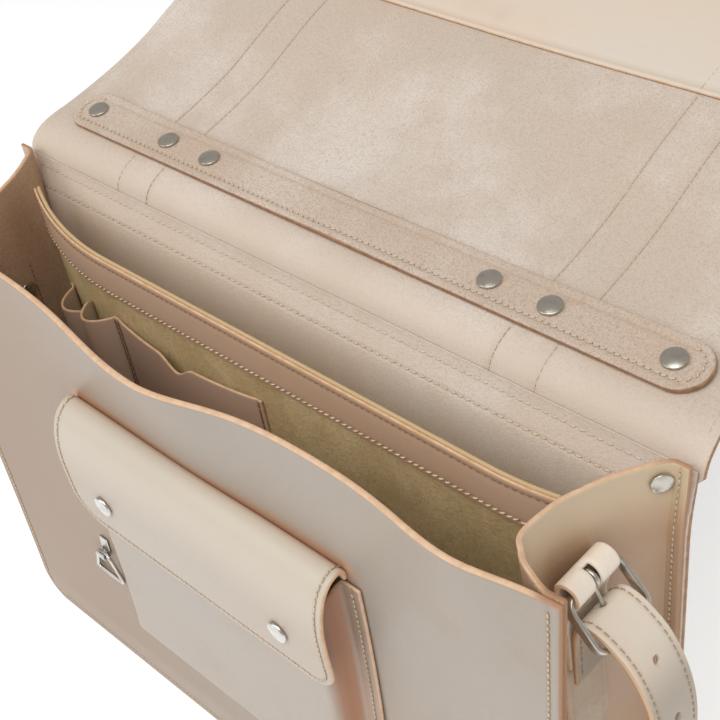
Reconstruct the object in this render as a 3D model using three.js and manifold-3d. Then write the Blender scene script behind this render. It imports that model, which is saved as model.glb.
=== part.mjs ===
// An open leather briefcase that stands on its base with its flap folded back.
// Millimetres, +Z up, +X to the right gusset, +Y to the back.
// The origin is the middle of the base's underside.

import * as THREE from 'three';
import { mergeVertices } from 'three/addons/utils/BufferGeometryUtils.js';
import Module from 'manifold-3d';

const wasm = await Module();
wasm.setup();

// Driving dimensions
const topWidth = 410;
const baseWidth = 394;
const bodyHeight = 278;
const baseDepth = 92;
const frontLean = 10;
const backLean = 6.5;
const cornerRadius = 18;
const panelLeather = 3;
const gussetLeather = 2.5;
const liningLeather = 2;
const thinLeather = 1.4;
const strapLeather = 2.6;
const clearance = 0.3;
const facetRoom = 0.3;

const backPanelHeight = 272;
const flapWidth = 405;
const flapLength = 300;
const flapRootSpread = 4;
const flapCornerRadius = 28;
const flapEdgeLift = 2;
const stripLength = 382;
const stripWidth = 25;
const stripLineY = 74;
const stripRivetX = [-175.3, -118.3, -87.3, 87.3, 118.3, 175.3];
const rivetRadius = 5.4;
const rivetHeight = 2.4;
const facingStartY = 193.5;
const flapStrapX = 119.7;
const flapStrapWidth = 29;
const flapStrapTongue = 52;

const handleWidth = 25;
const handleReach = 133;
const handleArchHalf = 78;
const handleArch = 36;

const pocketX = 4;
const pocketHalf = 98;
const pocketFlange = 10;
const pocketBottom = 42;
const pocketTop = 192;
const pocketFlangeTop = 209;
const pocketFlapHalf = 91;
const pocketFlapCorner = 18;
const snapSpread = 61;
const snapZ = 174;
const snapRadius = 5.6;
const snapHeight = 2.2;

const strapWidth = 25;
const strapLineY = -2;
const tabFoot = 148;
const tabTip = 9;
const tabOuterFoot = 206;
const loopZ = 249;
const loopRadius = 4.6;
const buckleWire = 1.6;
const prongWire = 1.3;
const farBar = { x: 205.2, z: 230.3 };
const strapHole = 2.6;
const strapHoleSpacing = 28;

const catchSpread = 115;
const catchZ = 89;
const catchWire = 1.4;
const clipMetal = 1;
const clipWidth = 7;
const clipHeight = 10;

const leatherColor = 0xe2cdb8;
const suedeColor = 0xd8c4b2;
const oliveColor = 0x9a8b62;
const nickelColor = 0xc9c7c2;

const smoothLeather = { color: leatherColor, roughness: 0.5, metalness: 0 };
const suede = { color: suedeColor, roughness: 0.9, metalness: 0 };
const oliveSuede = { color: oliveColor, roughness: 0.95, metalness: 0 };
const nickel = { color: nickelColor, roughness: 0.25, metalness: 1 };

const briefcase = new THREE.Group();

function addPiece(name, geometry, finish) {
  const mesh = new THREE.Mesh(geometry, new THREE.MeshStandardMaterial(finish));
  mesh.name = name;
  briefcase.add(mesh);
  return mesh;
}

function lerp(a, b, t) {
  return a + (b - a) * t;
}

function clamp01(t) {
  return Math.min(1, Math.max(0, t));
}

function smooth(t) {
  const c = clamp01(t);
  return c * c * (3 - 2 * c);
}

// Value at t in 0 to 1 along a list of stops, so that rows fall where a sheet bends
function alongStops(stops, t) {
  const place = clamp01(t) * (stops.length - 1);
  const cell = Math.min(stops.length - 2, Math.floor(place));
  return lerp(stops[cell], stops[cell + 1], place - cell);
}

function normalAt(surface, u, v) {
  const e = 1e-3;
  const alongU = surface(u + e, v).sub(surface(u - e, v));
  const alongV = surface(u, v + e).sub(surface(u, v - e));
  return alongU.cross(alongV).normalize();
}

// The same surface, moved out along its own normal
function lifted(surface, distance) {
  return (u, v) => surface(u, v).addScaledVector(normalAt(surface, u, v), distance);
}

// A sheet of even thickness over surface(a, b), with one row of faces between neighbouring stops
function sheet(surface, stopsA, stopsB, thickness) {
  const geometry = new THREE.BoxGeometry(1, 1, 1, stopsA.length - 1, stopsB.length - 1, 1);
  const spots = geometry.attributes.position;
  for (let i = 0; i < spots.count; i += 1) {
    const a = alongStops(stopsA, spots.getX(i) + 0.5);
    const b = alongStops(stopsB, spots.getY(i) + 0.5);
    const point = surface(a, b);
    point.addScaledVector(normalAt(surface, a, b), spots.getZ(i) * thickness);
    spots.setXYZ(i, point.x, point.y, point.z);
  }
  return geometry;
}

function evenStops(from, to, count) {
  return Array.from({ length: count + 1 }, (_, i) => lerp(from, to, i / count));
}

function mirrored(geometry) {
  const copy = geometry.clone();
  copy.scale(-1, 1, 1);
  const flat = copy.index ? copy.toNonIndexed() : copy;
  const spots = flat.attributes.position;
  for (let i = 0; i < spots.count; i += 3) {
    const first = new THREE.Vector3().fromBufferAttribute(spots, i);
    const last = new THREE.Vector3().fromBufferAttribute(spots, i + 2);
    spots.setXYZ(i, last.x, last.y, last.z);
    spots.setXYZ(i + 2, first.x, first.y, first.z);
  }
  return flat;
}

function toSolid(geometry) {
  const bare = geometry.clone();
  bare.deleteAttribute('normal');
  bare.deleteAttribute('uv');
  const merged = mergeVertices(bare, 1e-4);
  return new wasm.Manifold(new wasm.Mesh({
    numProp: 3,
    vertProperties: merged.attributes.position.array,
    triVerts: new Uint32Array(merged.index.array),
  }));
}

function fromSolid(solid) {
  const mesh = solid.getMesh();
  const geometry = new THREE.BufferGeometry();
  geometry.setAttribute('position', new THREE.BufferAttribute(mesh.vertProperties, 3));
  geometry.setIndex(new THREE.BufferAttribute(mesh.triVerts, 1));
  return geometry;
}

// Turn a geometry that stands on +Y so that it stands at a point along a direction
function standAt(geometry, point, direction) {
  const turn = new THREE.Quaternion().setFromUnitVectors(new THREE.Vector3(0, 1, 0), direction);
  geometry.applyQuaternion(turn);
  geometry.translate(point.x, point.y, point.z);
  return geometry;
}

// A low rivet cap whose flat underside is at the origin
function rivetCap(radius, height) {
  const profile = [
    new THREE.Vector2(0, 0),
    new THREE.Vector2(radius * 0.94, 0),
    new THREE.Vector2(radius, height * 0.4),
    new THREE.Vector2(radius * 0.78, height * 0.9),
    new THREE.Vector2(0, height),
  ];
  return new THREE.LatheGeometry(profile, 12);
}

// A rod with closed ends along a curve
function rod(curve, radius, steps, sides) {
  const section = new THREE.Shape();
  for (let i = 0; i < sides; i += 1) {
    const angle = (2 * Math.PI * i) / sides;
    section[i ? 'lineTo' : 'moveTo'](radius * Math.cos(angle), radius * Math.sin(angle));
  }
  return new THREE.ExtrudeGeometry(section, { steps, bevelEnabled: false, extrudePath: curve });
}

// A closed wire of round section round a flat outline, a list of corners each with a round bend.
// flat(a, b) places a point of the outline's plane, and facing is that plane's normal.
function wireLoop(corners, bend, radius, flat, facing) {
  const outline = new THREE.CurvePath();
  const count = corners.length;
  const bends = corners.map((corner, i) => {
    const before = corners[(i + count - 1) % count];
    const after = corners[(i + 1) % count];
    const inward = before.clone().sub(corner).normalize().multiplyScalar(bend);
    const onward = after.clone().sub(corner).normalize().multiplyScalar(bend);
    return { start: corner.clone().add(inward), corner, end: corner.clone().add(onward) };
  });
  bends.forEach((turn, i) => {
    outline.add(new THREE.QuadraticBezierCurve(turn.start, turn.corner, turn.end));
    outline.add(new THREE.LineCurve(turn.end, bends[(i + 1) % count].start));
  });
  const places = [];
  outline.curves.forEach((curve, i) => {
    const steps = i % 2 ? 1 : 3;
    for (let k = 0; k < steps; k += 1) {
      places.push({ at: curve.getPoint(k / steps), way: curve.getTangent(k / steps) });
    }
  });
  const sides = 6;
  const geometry = new THREE.TorusGeometry(1, 0.3, sides, places.length);
  const spots = geometry.attributes.position;
  const centre = flat(0, 0);
  for (let j = 0; j <= sides; j += 1) {
    for (let i = 0; i <= places.length; i += 1) {
      const place = places[i % places.length];
      const angle = (2 * Math.PI * j) / sides;
      const out = flat(place.way.y, -place.way.x).sub(centre);
      const point = flat(place.at.x, place.at.y);
      point.addScaledVector(out, radius * Math.cos(angle));
      point.addScaledVector(facing, radius * Math.sin(angle));
      spots.setXYZ(j * (places.length + 1) + i, point.x, point.y, point.z);
    }
  }
  return geometry;
}

// Body: half width at a height, with round lower corners
function bodyHalfWidth(z) {
  const straight = lerp(baseWidth, topWidth, z / bodyHeight) / 2;
  if (z >= cornerRadius) {
    return straight;
  }
  const drop = cornerRadius - Math.max(0, z);
  return straight - cornerRadius + Math.sqrt(cornerRadius ** 2 - drop ** 2);
}

// The front's top edge waves out between its corners
const frontWaves = [
  { at: -3, leftWidth: 66, rightWidth: 42, out: 14 },
  { at: 160, leftWidth: 34, rightWidth: 26, out: 6.5 },
];
const waveFoot = 190;
const frontDent = 6.5;
const dentFoot = 20;

function frontAt(x, z) {
  const corner = -baseDepth / 2 + (frontLean * z) / bodyHeight;
  const rise = clamp01((z - waveFoot) / (bodyHeight - waveFoot)) ** 1.6;
  let wave = 0;
  frontWaves.forEach((row) => {
    const width = x < row.at ? row.leftWidth : row.rightWidth;
    wave += row.out * Math.exp(-(((x - row.at) / width) ** 2));
  });
  const tall = clamp01((z - dentFoot) / (bodyHeight - dentFoot));
  const wide = Math.max(0, 1 - (x / (topWidth / 2)) ** 4);
  const dent = frontDent * wide * Math.sin(Math.PI * tall) ** 0.8;
  return new THREE.Vector3(x, corner - wave * rise + dent, z);
}

function backAt(x, z) {
  return new THREE.Vector3(x, baseDepth / 2 - (backLean * z) / bodyHeight, z);
}

// Panel sheets: the first stop list runs across as a share of the half width, the second up the height
const panelFoot = 0.3;
const cornerRows = [panelFoot, 1.2, 5, 10.5, cornerRadius];
const frontStopsX = [-1, -0.93, -0.83, -0.68, -0.55, -0.44, -0.34, -0.25, -0.16, -0.08, 0, 0.07, 0.14, 0.21,
  0.29, 0.38, 0.47, 0.57, 0.65, 0.72, 0.79, 0.85, 0.91, 0.96, 1];
const frontStopsZ = [...cornerRows, 55, 100, 150, 190, 215, 235, 250, 264, bodyHeight];

function panelOver(at) {
  return (share, z) => at(share * bodyHalfWidth(z), z);
}

addPiece('front_panel', sheet(panelOver(frontAt), frontStopsX, frontStopsZ, panelLeather), smoothLeather);
addPiece(
  'back_panel',
  sheet(panelOver(backAt), [-1, 0, 1], [...cornerRows, 140, backPanelHeight], panelLeather),
  suede,
);

// Base: a flat sheet whose long edges are folded up inside the panels
const baseFold = 14;
const baseHalfY = baseDepth / 2 - panelLeather / 2 - clearance - 0.6;
const baseFoldHalfX = 164;
const baseHalfX = 184;

function makeBase() {
  const tray = new THREE.Shape();
  tray.moveTo(-baseHalfY, 0);
  tray.lineTo(baseHalfY, 0);
  tray.lineTo(baseHalfY, baseFold);
  tray.lineTo(baseHalfY - panelLeather, baseFold);
  tray.lineTo(baseHalfY - panelLeather, panelLeather);
  tray.lineTo(-baseHalfY + panelLeather, panelLeather);
  tray.lineTo(-baseHalfY + panelLeather, baseFold);
  tray.lineTo(-baseHalfY, baseFold);
  const folded = new THREE.ExtrudeGeometry(tray, { depth: 2 * baseFoldHalfX, bevelEnabled: false });
  folded.translate(0, 0, -baseFoldHalfX);
  folded.rotateX(Math.PI / 2);
  folded.rotateZ(Math.PI / 2);
  const floor = new THREE.BoxGeometry(2 * baseHalfX, 2 * baseHalfY, panelLeather);
  floor.translate(0, 0, panelLeather / 2);
  return fromSolid(toSolid(folded).add(toSolid(floor)));
}

addPiece('base', makeBase(), smoothLeather);

// Gussets: section from the front flange to the back flange, inset from the body's edge.
// depth runs from the front panel to the back panel, mouth and foot are insets at the top and the bottom.
const gussetSection = [
  { depth: 0, mouth: 0.6, foot: 0.6 },
  { depth: 0, mouth: 8, foot: 8 },
  { depth: 0.05, mouth: 16, foot: 11.5 },
  { depth: 0.15, mouth: 25.5, foot: 13.2 },
  { depth: 0.29, mouth: 30.7, foot: 13.5 },
  { depth: 0.44, mouth: 29.7, foot: 13.5 },
  { depth: 0.61, mouth: 25.6, foot: 13.5 },
  { depth: 0.76, mouth: 20.3, foot: 13.5 },
  { depth: 0.89, mouth: 14.2, foot: 13.2 },
  { depth: 0.96, mouth: 10.5, foot: 11.5 },
  { depth: 1, mouth: 7, foot: 8 },
  { depth: 1, mouth: 0.6, foot: 0.6 },
];
const bowFoot = 60;
const onBase = panelLeather + clearance;
const gussetFoot = onBase + 1.3;
const depthCurve = new THREE.CatmullRomCurve3(
  gussetSection.map((row) => new THREE.Vector3(row.depth, row.mouth, row.foot)),
  false,
  'centripetal',
);

// Middle surface of a gusset drawn on the right, part from 0 at the front edge to 1 at the back edge.
// Its flange follows the front panel on its own side, 1 for the right and -1 for the left.
function gussetOn(side) {
  return (part, z) => {
    const row = depthCurve.getPoint(clamp01(part));
    const bow = clamp01((z - bowFoot) / (bodyHeight - bowFoot)) ** 1.2;
    const x = bodyHalfWidth(z) - lerp(row.z, row.y, bow);
    const seat = panelLeather / 2 + clearance + gussetLeather / 2;
    const front = frontAt(side * x, z).y + seat;
    const back = backAt(x, z).y - seat;
    return new THREE.Vector3(x, lerp(front, back, clamp01(row.x)), z);
  };
}
const gussetAt = gussetOn(1);

const gussetStopsA = evenStops(0, 1, 22);
const gussetStopsB = [gussetFoot, 7, 12, cornerRadius, 60, 120, 180, 225, 255, bodyHeight];
addPiece('gusset_right', sheet(gussetAt, gussetStopsA, gussetStopsB, gussetLeather), smoothLeather);
const leftGusset = sheet(gussetOn(-1), gussetStopsA, gussetStopsB, gussetLeather);
addPiece('gusset_left', mirrored(leftGusset), smoothLeather);

// Flap: its profile from the hem behind the back panel, over the fold and out to the back
const flapProfile = [
  { y: 43.9, z: 236 },
  { y: 43.3, z: 256 },
  { y: 43.2, z: 268 },
  { y: 46.2, z: 275.8 },
  { y: 53.5, z: 280.4 },
  { y: 62, z: 282.3 },
  { y: 72, z: 283.4 },
  { y: 90, z: 286.2 },
  { y: 110, z: 290.2 },
  { y: 131, z: 296 },
  { y: 150, z: 303.4 },
  { y: 170, z: 311 },
  { y: 192, z: 317.6 },
  { y: 240, z: 329 },
  { y: 290, z: 337 },
  { y: 350, z: 342 },
];
const flapCurve = new THREE.CatmullRomCurve3(
  flapProfile.map((row) => new THREE.Vector3(0, row.y, row.z)),
  false,
  'centripetal',
);
const flapCurveLength = flapCurve.getLength();
const liftStart = 45;
const liftRun = 40;
const spreadEnd = 40;
const spreadRun = 45;

// The flap's middle surface, run is the length along the leather from the hem. The suede side faces up.
function flapAt(x, run) {
  const point = flapCurve.getPointAt(clamp01(run / flapCurveLength));
  const lift = flapEdgeLift * (x / (flapWidth / 2)) ** 4 * smooth((run - liftStart) / liftRun);
  return new THREE.Vector3(x, point.y, point.z + lift);
}

// Half width of the flap, which spreads a little where it folds over the body
function flapHalfAt(run) {
  return flapWidth / 2 + flapRootSpread * (1 - smooth((run - spreadEnd) / spreadRun));
}

function runAtY(y) {
  const fold = 40;
  let low = fold;
  let high = flapCurveLength;
  for (let i = 0; i < 40; i += 1) {
    const middle = (low + high) / 2;
    if (flapAt(0, middle).y < y) {
      low = middle;
    } else {
      high = middle;
    }
  }
  return low;
}

// Half width of a sheet that ends in round corners at its far edge
function roundedHalf(half, radius, left) {
  if (left >= radius) {
    return half;
  }
  const drop = radius - Math.max(0, left);
  return half - radius + Math.sqrt(radius ** 2 - drop ** 2);
}

const flapStopsA = [-1, -0.8, -0.5, 0, 0.5, 0.8, 1];
const flapBendRows = [20, 32, 37, 42, 47, 54, 64, 80, 96, 112, 130, 150, 172, 196, 225, 250];
const flapCornerRows = [0.9, 0.65, 0.36, 0.12, 0];

addPiece('flap', sheet(
  (share, run) => flapAt(share * roundedHalf(flapHalfAt(run), flapCornerRadius, flapLength - run), run),
  flapStopsA,
  [0, ...flapBendRows, ...flapCornerRows.map((share) => flapLength - share * flapCornerRadius)],
  panelLeather,
), suede);

// Reinforcing strip with round ends
const stripRun = runAtY(stripLineY);
const onFlap = panelLeather / 2 + clearance;
addPiece('flap_strip', sheet(
  lifted(
    (share, run) => {
      const left = stripWidth / 2 - Math.abs(run - stripRun);
      return flapAt(share * roundedHalf(stripLength / 2, stripWidth / 2, left), run);
    },
    onFlap + panelLeather / 2,
  ),
  [-1, -0.8, -0.5, 0, 0.5, 0.8, 1],
  [-1, -0.92, -0.7, -0.36, 0, 0.36, 0.7, 0.92, 1].map((share) => stripRun + (share * stripWidth) / 2),
  panelLeather,
), suede);

stripRivetX.forEach((x, i) => {
  const seat = onFlap + panelLeather + clearance;
  const place = lifted(flapAt, seat)(x, stripRun);
  const up = normalAt(flapAt, x, stripRun);
  addPiece(`strip_rivet_${i + 1}`, standAt(rivetCap(rivetRadius, rivetHeight), place, up), nickel);
});

// Smooth facing at the flap's far end
const facingInset = 3;
const facingStart = runAtY(facingStartY);
addPiece('flap_facing', sheet(
  lifted(
    (share, run) => {
      const half = flapWidth / 2 - facingInset;
      return flapAt(share * roundedHalf(half, flapCornerRadius, flapLength - facingInset - run), run);
    },
    onFlap + thinLeather / 2,
  ),
  flapStopsA,
  [facingStart, 225, 250,
    ...flapCornerRows.map((share) => flapLength - facingInset - share * flapCornerRadius)],
  thinLeather,
), smoothLeather);

// Closing straps on the flap's outside, with a free tongue past its far edge
const strapTip = 12;
const strapEnd = flapLength + flapStrapTongue;
const underFlap = -(onFlap + strapLeather / 2);
['left', 'right'].forEach((side, i) => {
  const centre = i ? flapStrapX : -flapStrapX;
  addPiece(`flap_strap_${side}`, sheet(
    lifted(
      (share, run) => {
        const half = roundedHalf(flapStrapWidth / 2, strapTip, strapEnd - run);
        return flapAt(centre + share * half, run);
      },
      underFlap,
    ),
    [-1, 1],
    [2, ...flapBendRows, flapLength - 25, flapLength, flapLength + 26,
      ...[1, 0.6, 0.3, 0.1, 0].map((share) => strapEnd - share * strapTip)],
    strapLeather,
  ), smoothLeather);
});

// Handle under the open flap: its ends lie on the closing straps and its middle arches away
const handleSeat = onFlap + strapLeather + clearance + panelLeather / 2;
function handleAt(x, across) {
  const arch = handleArch * Math.max(0, 1 - (x / handleArchHalf) ** 2) ** 2;
  const run = stripRun + across;
  return lifted(flapAt, -handleSeat - arch)(x, run);
}
const handleEndStops = [handleArchHalf, 100, 118, handleReach];
addPiece('handle', sheet(
  handleAt,
  [...handleEndStops.map((x) => -x).reverse(), ...evenStops(-70, 70, 14), ...handleEndStops],
  [-handleWidth / 2, handleWidth / 2],
  panelLeather,
), smoothLeather);

stripRivetX.slice(1, 5).forEach((x, i) => {
  const down = normalAt(flapAt, x, stripRun).negate();
  const place = lifted(flapAt, -handleSeat - panelLeather / 2 - clearance - facetRoom)(x, stripRun);
  addPiece(`handle_rivet_${i + 1}`, standAt(rivetCap(rivetRadius, rivetHeight), place, down), nickel);
});

// Divider: its left end curves back to the gusset
const dividerY = 5;
const dividerTop = 270;
const dividerEnds = { left: -174, leftBend: -92, leftBack: 20, right: 171, rightBend: 140, rightBack: 3 };
function dividerAt(x, z) {
  const left = clamp01((dividerEnds.leftBend - x) / (dividerEnds.leftBend - dividerEnds.left));
  const right = clamp01((x - dividerEnds.rightBend) / (dividerEnds.right - dividerEnds.rightBend));
  const back = dividerEnds.leftBack * left ** 2 + dividerEnds.rightBack * right ** 2;
  return new THREE.Vector3(x, dividerY + back, z);
}
const dividerStops = [
  ...evenStops(dividerEnds.left, dividerEnds.leftBend, 7),
  ...evenStops(dividerEnds.leftBend, dividerEnds.rightBend, 4).slice(1, -1),
  ...evenStops(dividerEnds.rightBend, dividerEnds.right, 2),
];
addPiece('divider', sheet(dividerAt, dividerStops, [onBase, 140, dividerTop], liningLeather), oliveSuede);

const bandHeight = 22;
const onDivider = liningLeather / 2 + clearance;
addPiece('divider_band', sheet(
  lifted(dividerAt, onDivider + thinLeather / 2),
  dividerStops,
  [dividerTop - bandHeight, dividerTop],
  thinLeather,
), smoothLeather);

// Inner pocket on the divider's front: two pen sleeves and a card pocket in one sheet.
// Each row is a stretch between two seams, and out is how far its middle stands off.
const innerPocketFoot = 132;
const innerPocketTop = 233;
const innerPocketStretches = [
  { from: -146, to: -122, out: 11, steps: 8 },
  { from: -120, to: -98, out: 11, steps: 8 },
  { from: -94, to: 5, out: 5, steps: 6 },
];
const notch = { at: -46, half: 13, drop: 7 };
function innerPocketAt(x, share) {
  let out = 0;
  innerPocketStretches.forEach((row) => {
    const place = (x - row.from) / (row.to - row.from);
    if (place > 0 && place < 1) {
      out = row.out * Math.sin(Math.PI * place) ** 0.8;
    }
  });
  const dip = notch.drop * smooth(1 - Math.abs(x - notch.at) / notch.half);
  const top = innerPocketTop - dip;
  const seat = onDivider + thinLeather / 2 + out * smooth(share * 2);
  const base = dividerAt(x, lerp(innerPocketFoot, top, share));
  return base.addScaledVector(normalAt(dividerAt, x, base.z), seat);
}
const innerStops = innerPocketStretches.flatMap((row) => evenStops(row.from, row.to, row.steps));
innerStops.unshift(innerPocketStretches[0].from - 4);
innerStops.push(innerPocketStretches[2].to + 4);
innerStops.push(notch.at - notch.half, notch.at - 6, notch.at, notch.at + 6, notch.at + notch.half);
innerStops.sort((a, b) => a - b);
const innerRows = [0, 0.2, 0.35, 0.5, 1];
addPiece('inner_pocket', sheet(innerPocketAt, innerStops, innerRows, thinLeather), smoothLeather);

// Front pocket: a tray on the front panel, open at its top
const pocketDepth = { foot: 8.5, top: 14.4 };
const pocketRamp = 9;
const mouthFoot = 162;

// Its flanges reach up to the flap's crease, and its front wall stops lower, at the mouth
function pocketAt(x, row) {
  const sideEdge = pocketHalf - pocketFlange - Math.abs(x);
  const rim = lerp(pocketFlangeTop, pocketTop, smooth(sideEdge / pocketRamp));
  const above = (row - mouthFoot) / (pocketTop - mouthFoot);
  const z = row > mouthFoot ? lerp(mouthFoot, rim, above) : row;
  const edge = Math.min(sideEdge, z - pocketBottom - pocketFlange);
  const deep = lerp(pocketDepth.foot, pocketDepth.top, (z - pocketBottom) / (pocketTop - pocketBottom));
  const seat = panelLeather / 2 + clearance + liningLeather / 2;
  const out = seat + deep * smooth(edge / pocketRamp);
  return lifted(frontAt, out)(pocketX + x, z);
}
const rampSteps = [0, 2.5, 4.5, 6.5, pocketRamp];
const pocketSide = [0, ...rampSteps.map((step) => pocketFlange + step)];
const pocketLeft = pocketSide.map((step) => step - pocketHalf);
const pocketRight = pocketSide.map((step) => pocketHalf - step).reverse();
addPiece('pocket_body', sheet(
  pocketAt,
  [...pocketLeft, -40, 0, 40, ...pocketRight],
  [...pocketSide.map((step) => pocketBottom + step), 95, 130, mouthFoot, pocketTop],
  liningLeather,
), smoothLeather);

// Its flap, from the sewn crease over a round shoulder and down to the snaps.
// out is measured from the front panel's outside.
const pocketFlapProfile = [
  { out: 3, z: 215.2 },
  { out: 5.8, z: 217 },
  { out: 10.4, z: 216 },
  { out: 15.2, z: 209.8 },
  { out: 18.4, z: 199 },
  { out: 19.2, z: 185 },
  { out: 18.9, z: 168 },
  { out: 17.6, z: 149 },
];
const pocketFlapCurve = new THREE.CatmullRomCurve3(
  pocketFlapProfile.map((row) => new THREE.Vector3(0, -row.out, row.z)),
  false,
  'centripetal',
);
const pocketFlapLength = pocketFlapCurve.getLength();
function pocketFlapAt(x, run) {
  const point = pocketFlapCurve.getPointAt(clamp01(run / pocketFlapLength));
  const panel = frontAt(pocketX + x, snapZ).y - panelLeather / 2;
  return new THREE.Vector3(pocketX + x, panel + point.y, point.z);
}
addPiece('pocket_flap', sheet(
  (share, run) => pocketFlapAt(
    -share * roundedHalf(pocketFlapHalf, pocketFlapCorner, pocketFlapLength - run),
    run,
  ),
  [-1, -0.6, -0.2, 0.2, 0.6, 1],
  [...evenStops(0, 34, 8), 44, 54,
    ...flapCornerRows.map((share) => pocketFlapLength - share * pocketFlapCorner)],
  gussetLeather,
), smoothLeather);

function pocketRunAtZ(z) {
  const steps = evenStops(30, pocketFlapLength, 200);
  return steps.find((run) => pocketFlapAt(0, run).z < z);
}
const snapRun = pocketRunAtZ(snapZ);
['left', 'right'].forEach((side, i) => {
  const x = i ? snapSpread : -snapSpread;
  const out = normalAt(pocketFlapAt, x, snapRun).negate();
  const place = pocketFlapAt(x, snapRun).addScaledVector(out, gussetLeather / 2 + clearance);
  addPiece(`pocket_snap_${side}`, standAt(rivetCap(snapRadius, snapHeight), place, out), nickel);
});

// A leather or metal band that runs up a face, round a bar and back down, as a path in a plane
function hairpin(rise, centre, radius, fall) {
  const round = evenStops(180, -50, 9).map((degrees) => {
    const angle = (degrees * Math.PI) / 180;
    return new THREE.Vector2(centre.x + radius * Math.cos(angle), centre.y + radius * Math.sin(angle));
  });
  return [...rise, ...round, ...fall];
}

// Sheet swept along a path with straight stretches, mitred at its corners
function band(points, widthAt, thickness, placed) {
  const geometry = new THREE.BoxGeometry(1, 1, 1, 1, points.length - 1, 1);
  const spots = geometry.attributes.position;
  for (let i = 0; i < spots.count; i += 1) {
    const row = Math.round((spots.getY(i) + 0.5) * (points.length - 1));
    const here = points[row];
    const before = points[Math.max(0, row - 1)];
    const after = points[Math.min(points.length - 1, row + 1)];
    const toHere = here.clone().sub(before).normalize();
    const fromHere = after.clone().sub(here).normalize();
    const wayIn = row ? toHere : fromHere;
    const wayOut = row < points.length - 1 ? fromHere : toHere;
    const side = wayIn.clone().add(wayOut).normalize();
    const mitre = 1 / Math.max(0.5, side.dot(wayIn));
    const off = spots.getZ(i) * thickness * mitre;
    const spot = placed(here.x + side.y * off, here.y - side.x * off, spots.getX(i) * widthAt(here));
    spots.setXYZ(i, spot.x, spot.y, spot.z);
  }
  return geometry;
}

// Side tab of the right gusset: two layers up the gusset, round the buckle's bar
const tabLayer = gussetLeather + clearance;
function gussetFaceX(z) {
  const parts = evenStops(0.15, 0.85, 28).map((part) => gussetAt(part, z));
  const near = parts.filter((point) => Math.abs(point.y - strapLineY) < strapWidth / 2 + 2);
  return Math.max(...near.map((point) => point.x)) + gussetLeather / 2 + facetRoom;
}
const loopX = gussetFaceX(loopZ) + clearance + gussetLeather / 2 + loopRadius;

// Slot of the loop that the prong comes through, placed from the loop's centre
const tabSlot = { deep: 11, wide: 6, tall: 21, out: 4.5, down: 3 };

function makeTab() {
  const tip = [0, 1.2, 3, 5.5, tabTip].map((rise) => tabFoot + rise);
  const inner = [...tip, 172, 188, 204, 220, 236].map((z) => {
    return new THREE.Vector2(gussetFaceX(z) + clearance + gussetLeather / 2, z);
  });
  const outer = [232, 220, tabOuterFoot].map((z) => {
    return new THREE.Vector2(gussetFaceX(z) + clearance + gussetLeather / 2 + tabLayer, z);
  });
  const path = hairpin(inner, new THREE.Vector2(loopX, loopZ), loopRadius, outer);
  const placed = (x, z, y) => new THREE.Vector3(x, strapLineY + y, z);
  const widthAt = (spot) => 2 * roundedHalf(strapWidth / 2, tabTip, spot.y - tabFoot);
  const leather = band(path, widthAt, gussetLeather, placed);
  const slot = new THREE.BoxGeometry(tabSlot.deep, tabSlot.wide, tabSlot.tall);
  slot.translate(loopX + tabSlot.out, strapLineY, loopZ - tabSlot.down);
  return fromSolid(toSolid(leather).subtract(toSolid(slot)));
}

// Wire buckle, seen from its back: the hinge bar lies in the tab and the far bar under the strap
const hingeBar = new THREE.Vector2(loopX + 1.1, loopZ - 0.9);
const frameWay = new THREE.Vector2(farBar.x, farBar.z).sub(hingeBar);
const frameLength = frameWay.length();
frameWay.normalize();

function makeBuckle() {
  const halfY = strapWidth / 2 + 0.8 + buckleWire;
  const corners = [
    new THREE.Vector2(0, -halfY),
    new THREE.Vector2(frameLength, -halfY),
    new THREE.Vector2(frameLength, halfY),
    new THREE.Vector2(0, halfY),
  ];
  const flat = (a, b) => new THREE.Vector3(
    hingeBar.x + frameWay.x * a,
    strapLineY + b,
    hingeBar.y + frameWay.y * a,
  );
  const facing = new THREE.Vector3(-frameWay.y, 0, frameWay.x);
  const frame = wireLoop(corners, 3, buckleWire, flat, facing);
  const prongPath = new THREE.CatmullRomCurve3([
    new THREE.Vector3(hingeBar.x + 0.4, strapLineY, hingeBar.y - 0.2),
    new THREE.Vector3(193.4, strapLineY, 239),
    new THREE.Vector3(196.4, strapLineY, 233),
    new THREE.Vector3(200, strapLineY, 228.6),
    new THREE.Vector3(206, strapLineY, 226.6),
  ]);
  return fromSolid(toSolid(frame).add(toSolid(rod(prongPath, prongWire, 8, 6))));
}

const rightTab = makeTab();
const rightBuckle = makeBuckle();
addPiece('side_tab_right', rightTab, smoothLeather);
addPiece('side_tab_left', mirrored(rightTab), smoothLeather);
addPiece('buckle_right', rightBuckle, nickel);
addPiece('buckle_left', mirrored(rightBuckle), nickel);

// Rivets of the gussets: one at the back corner outside, one through the tab inside
function gussetRivet(part, z, side, radius) {
  const out = normalAt(gussetAt, part, z).multiplyScalar(side);
  const place = gussetAt(part, z).addScaledVector(out, gussetLeather / 2 + clearance + 2 * facetRoom);
  return standAt(rivetCap(radius, snapHeight), place, out);
}
const cornerRivet = { part: 0.81, z: 269, radius: 4.6 };
const tabRivet = { part: 0.47, z: 216, radius: 5.2 };
const rightCornerRivet = gussetRivet(cornerRivet.part, cornerRivet.z, 1, cornerRivet.radius);
const rightTabRivet = gussetRivet(tabRivet.part, tabRivet.z, -1, tabRivet.radius);
addPiece('gusset_rivet_right', rightCornerRivet, nickel);
addPiece('gusset_rivet_left', mirrored(rightCornerRivet), nickel);
addPiece('tab_rivet_right', rightTabRivet, nickel);
addPiece('tab_rivet_left', mirrored(rightTabRivet), nickel);

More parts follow.
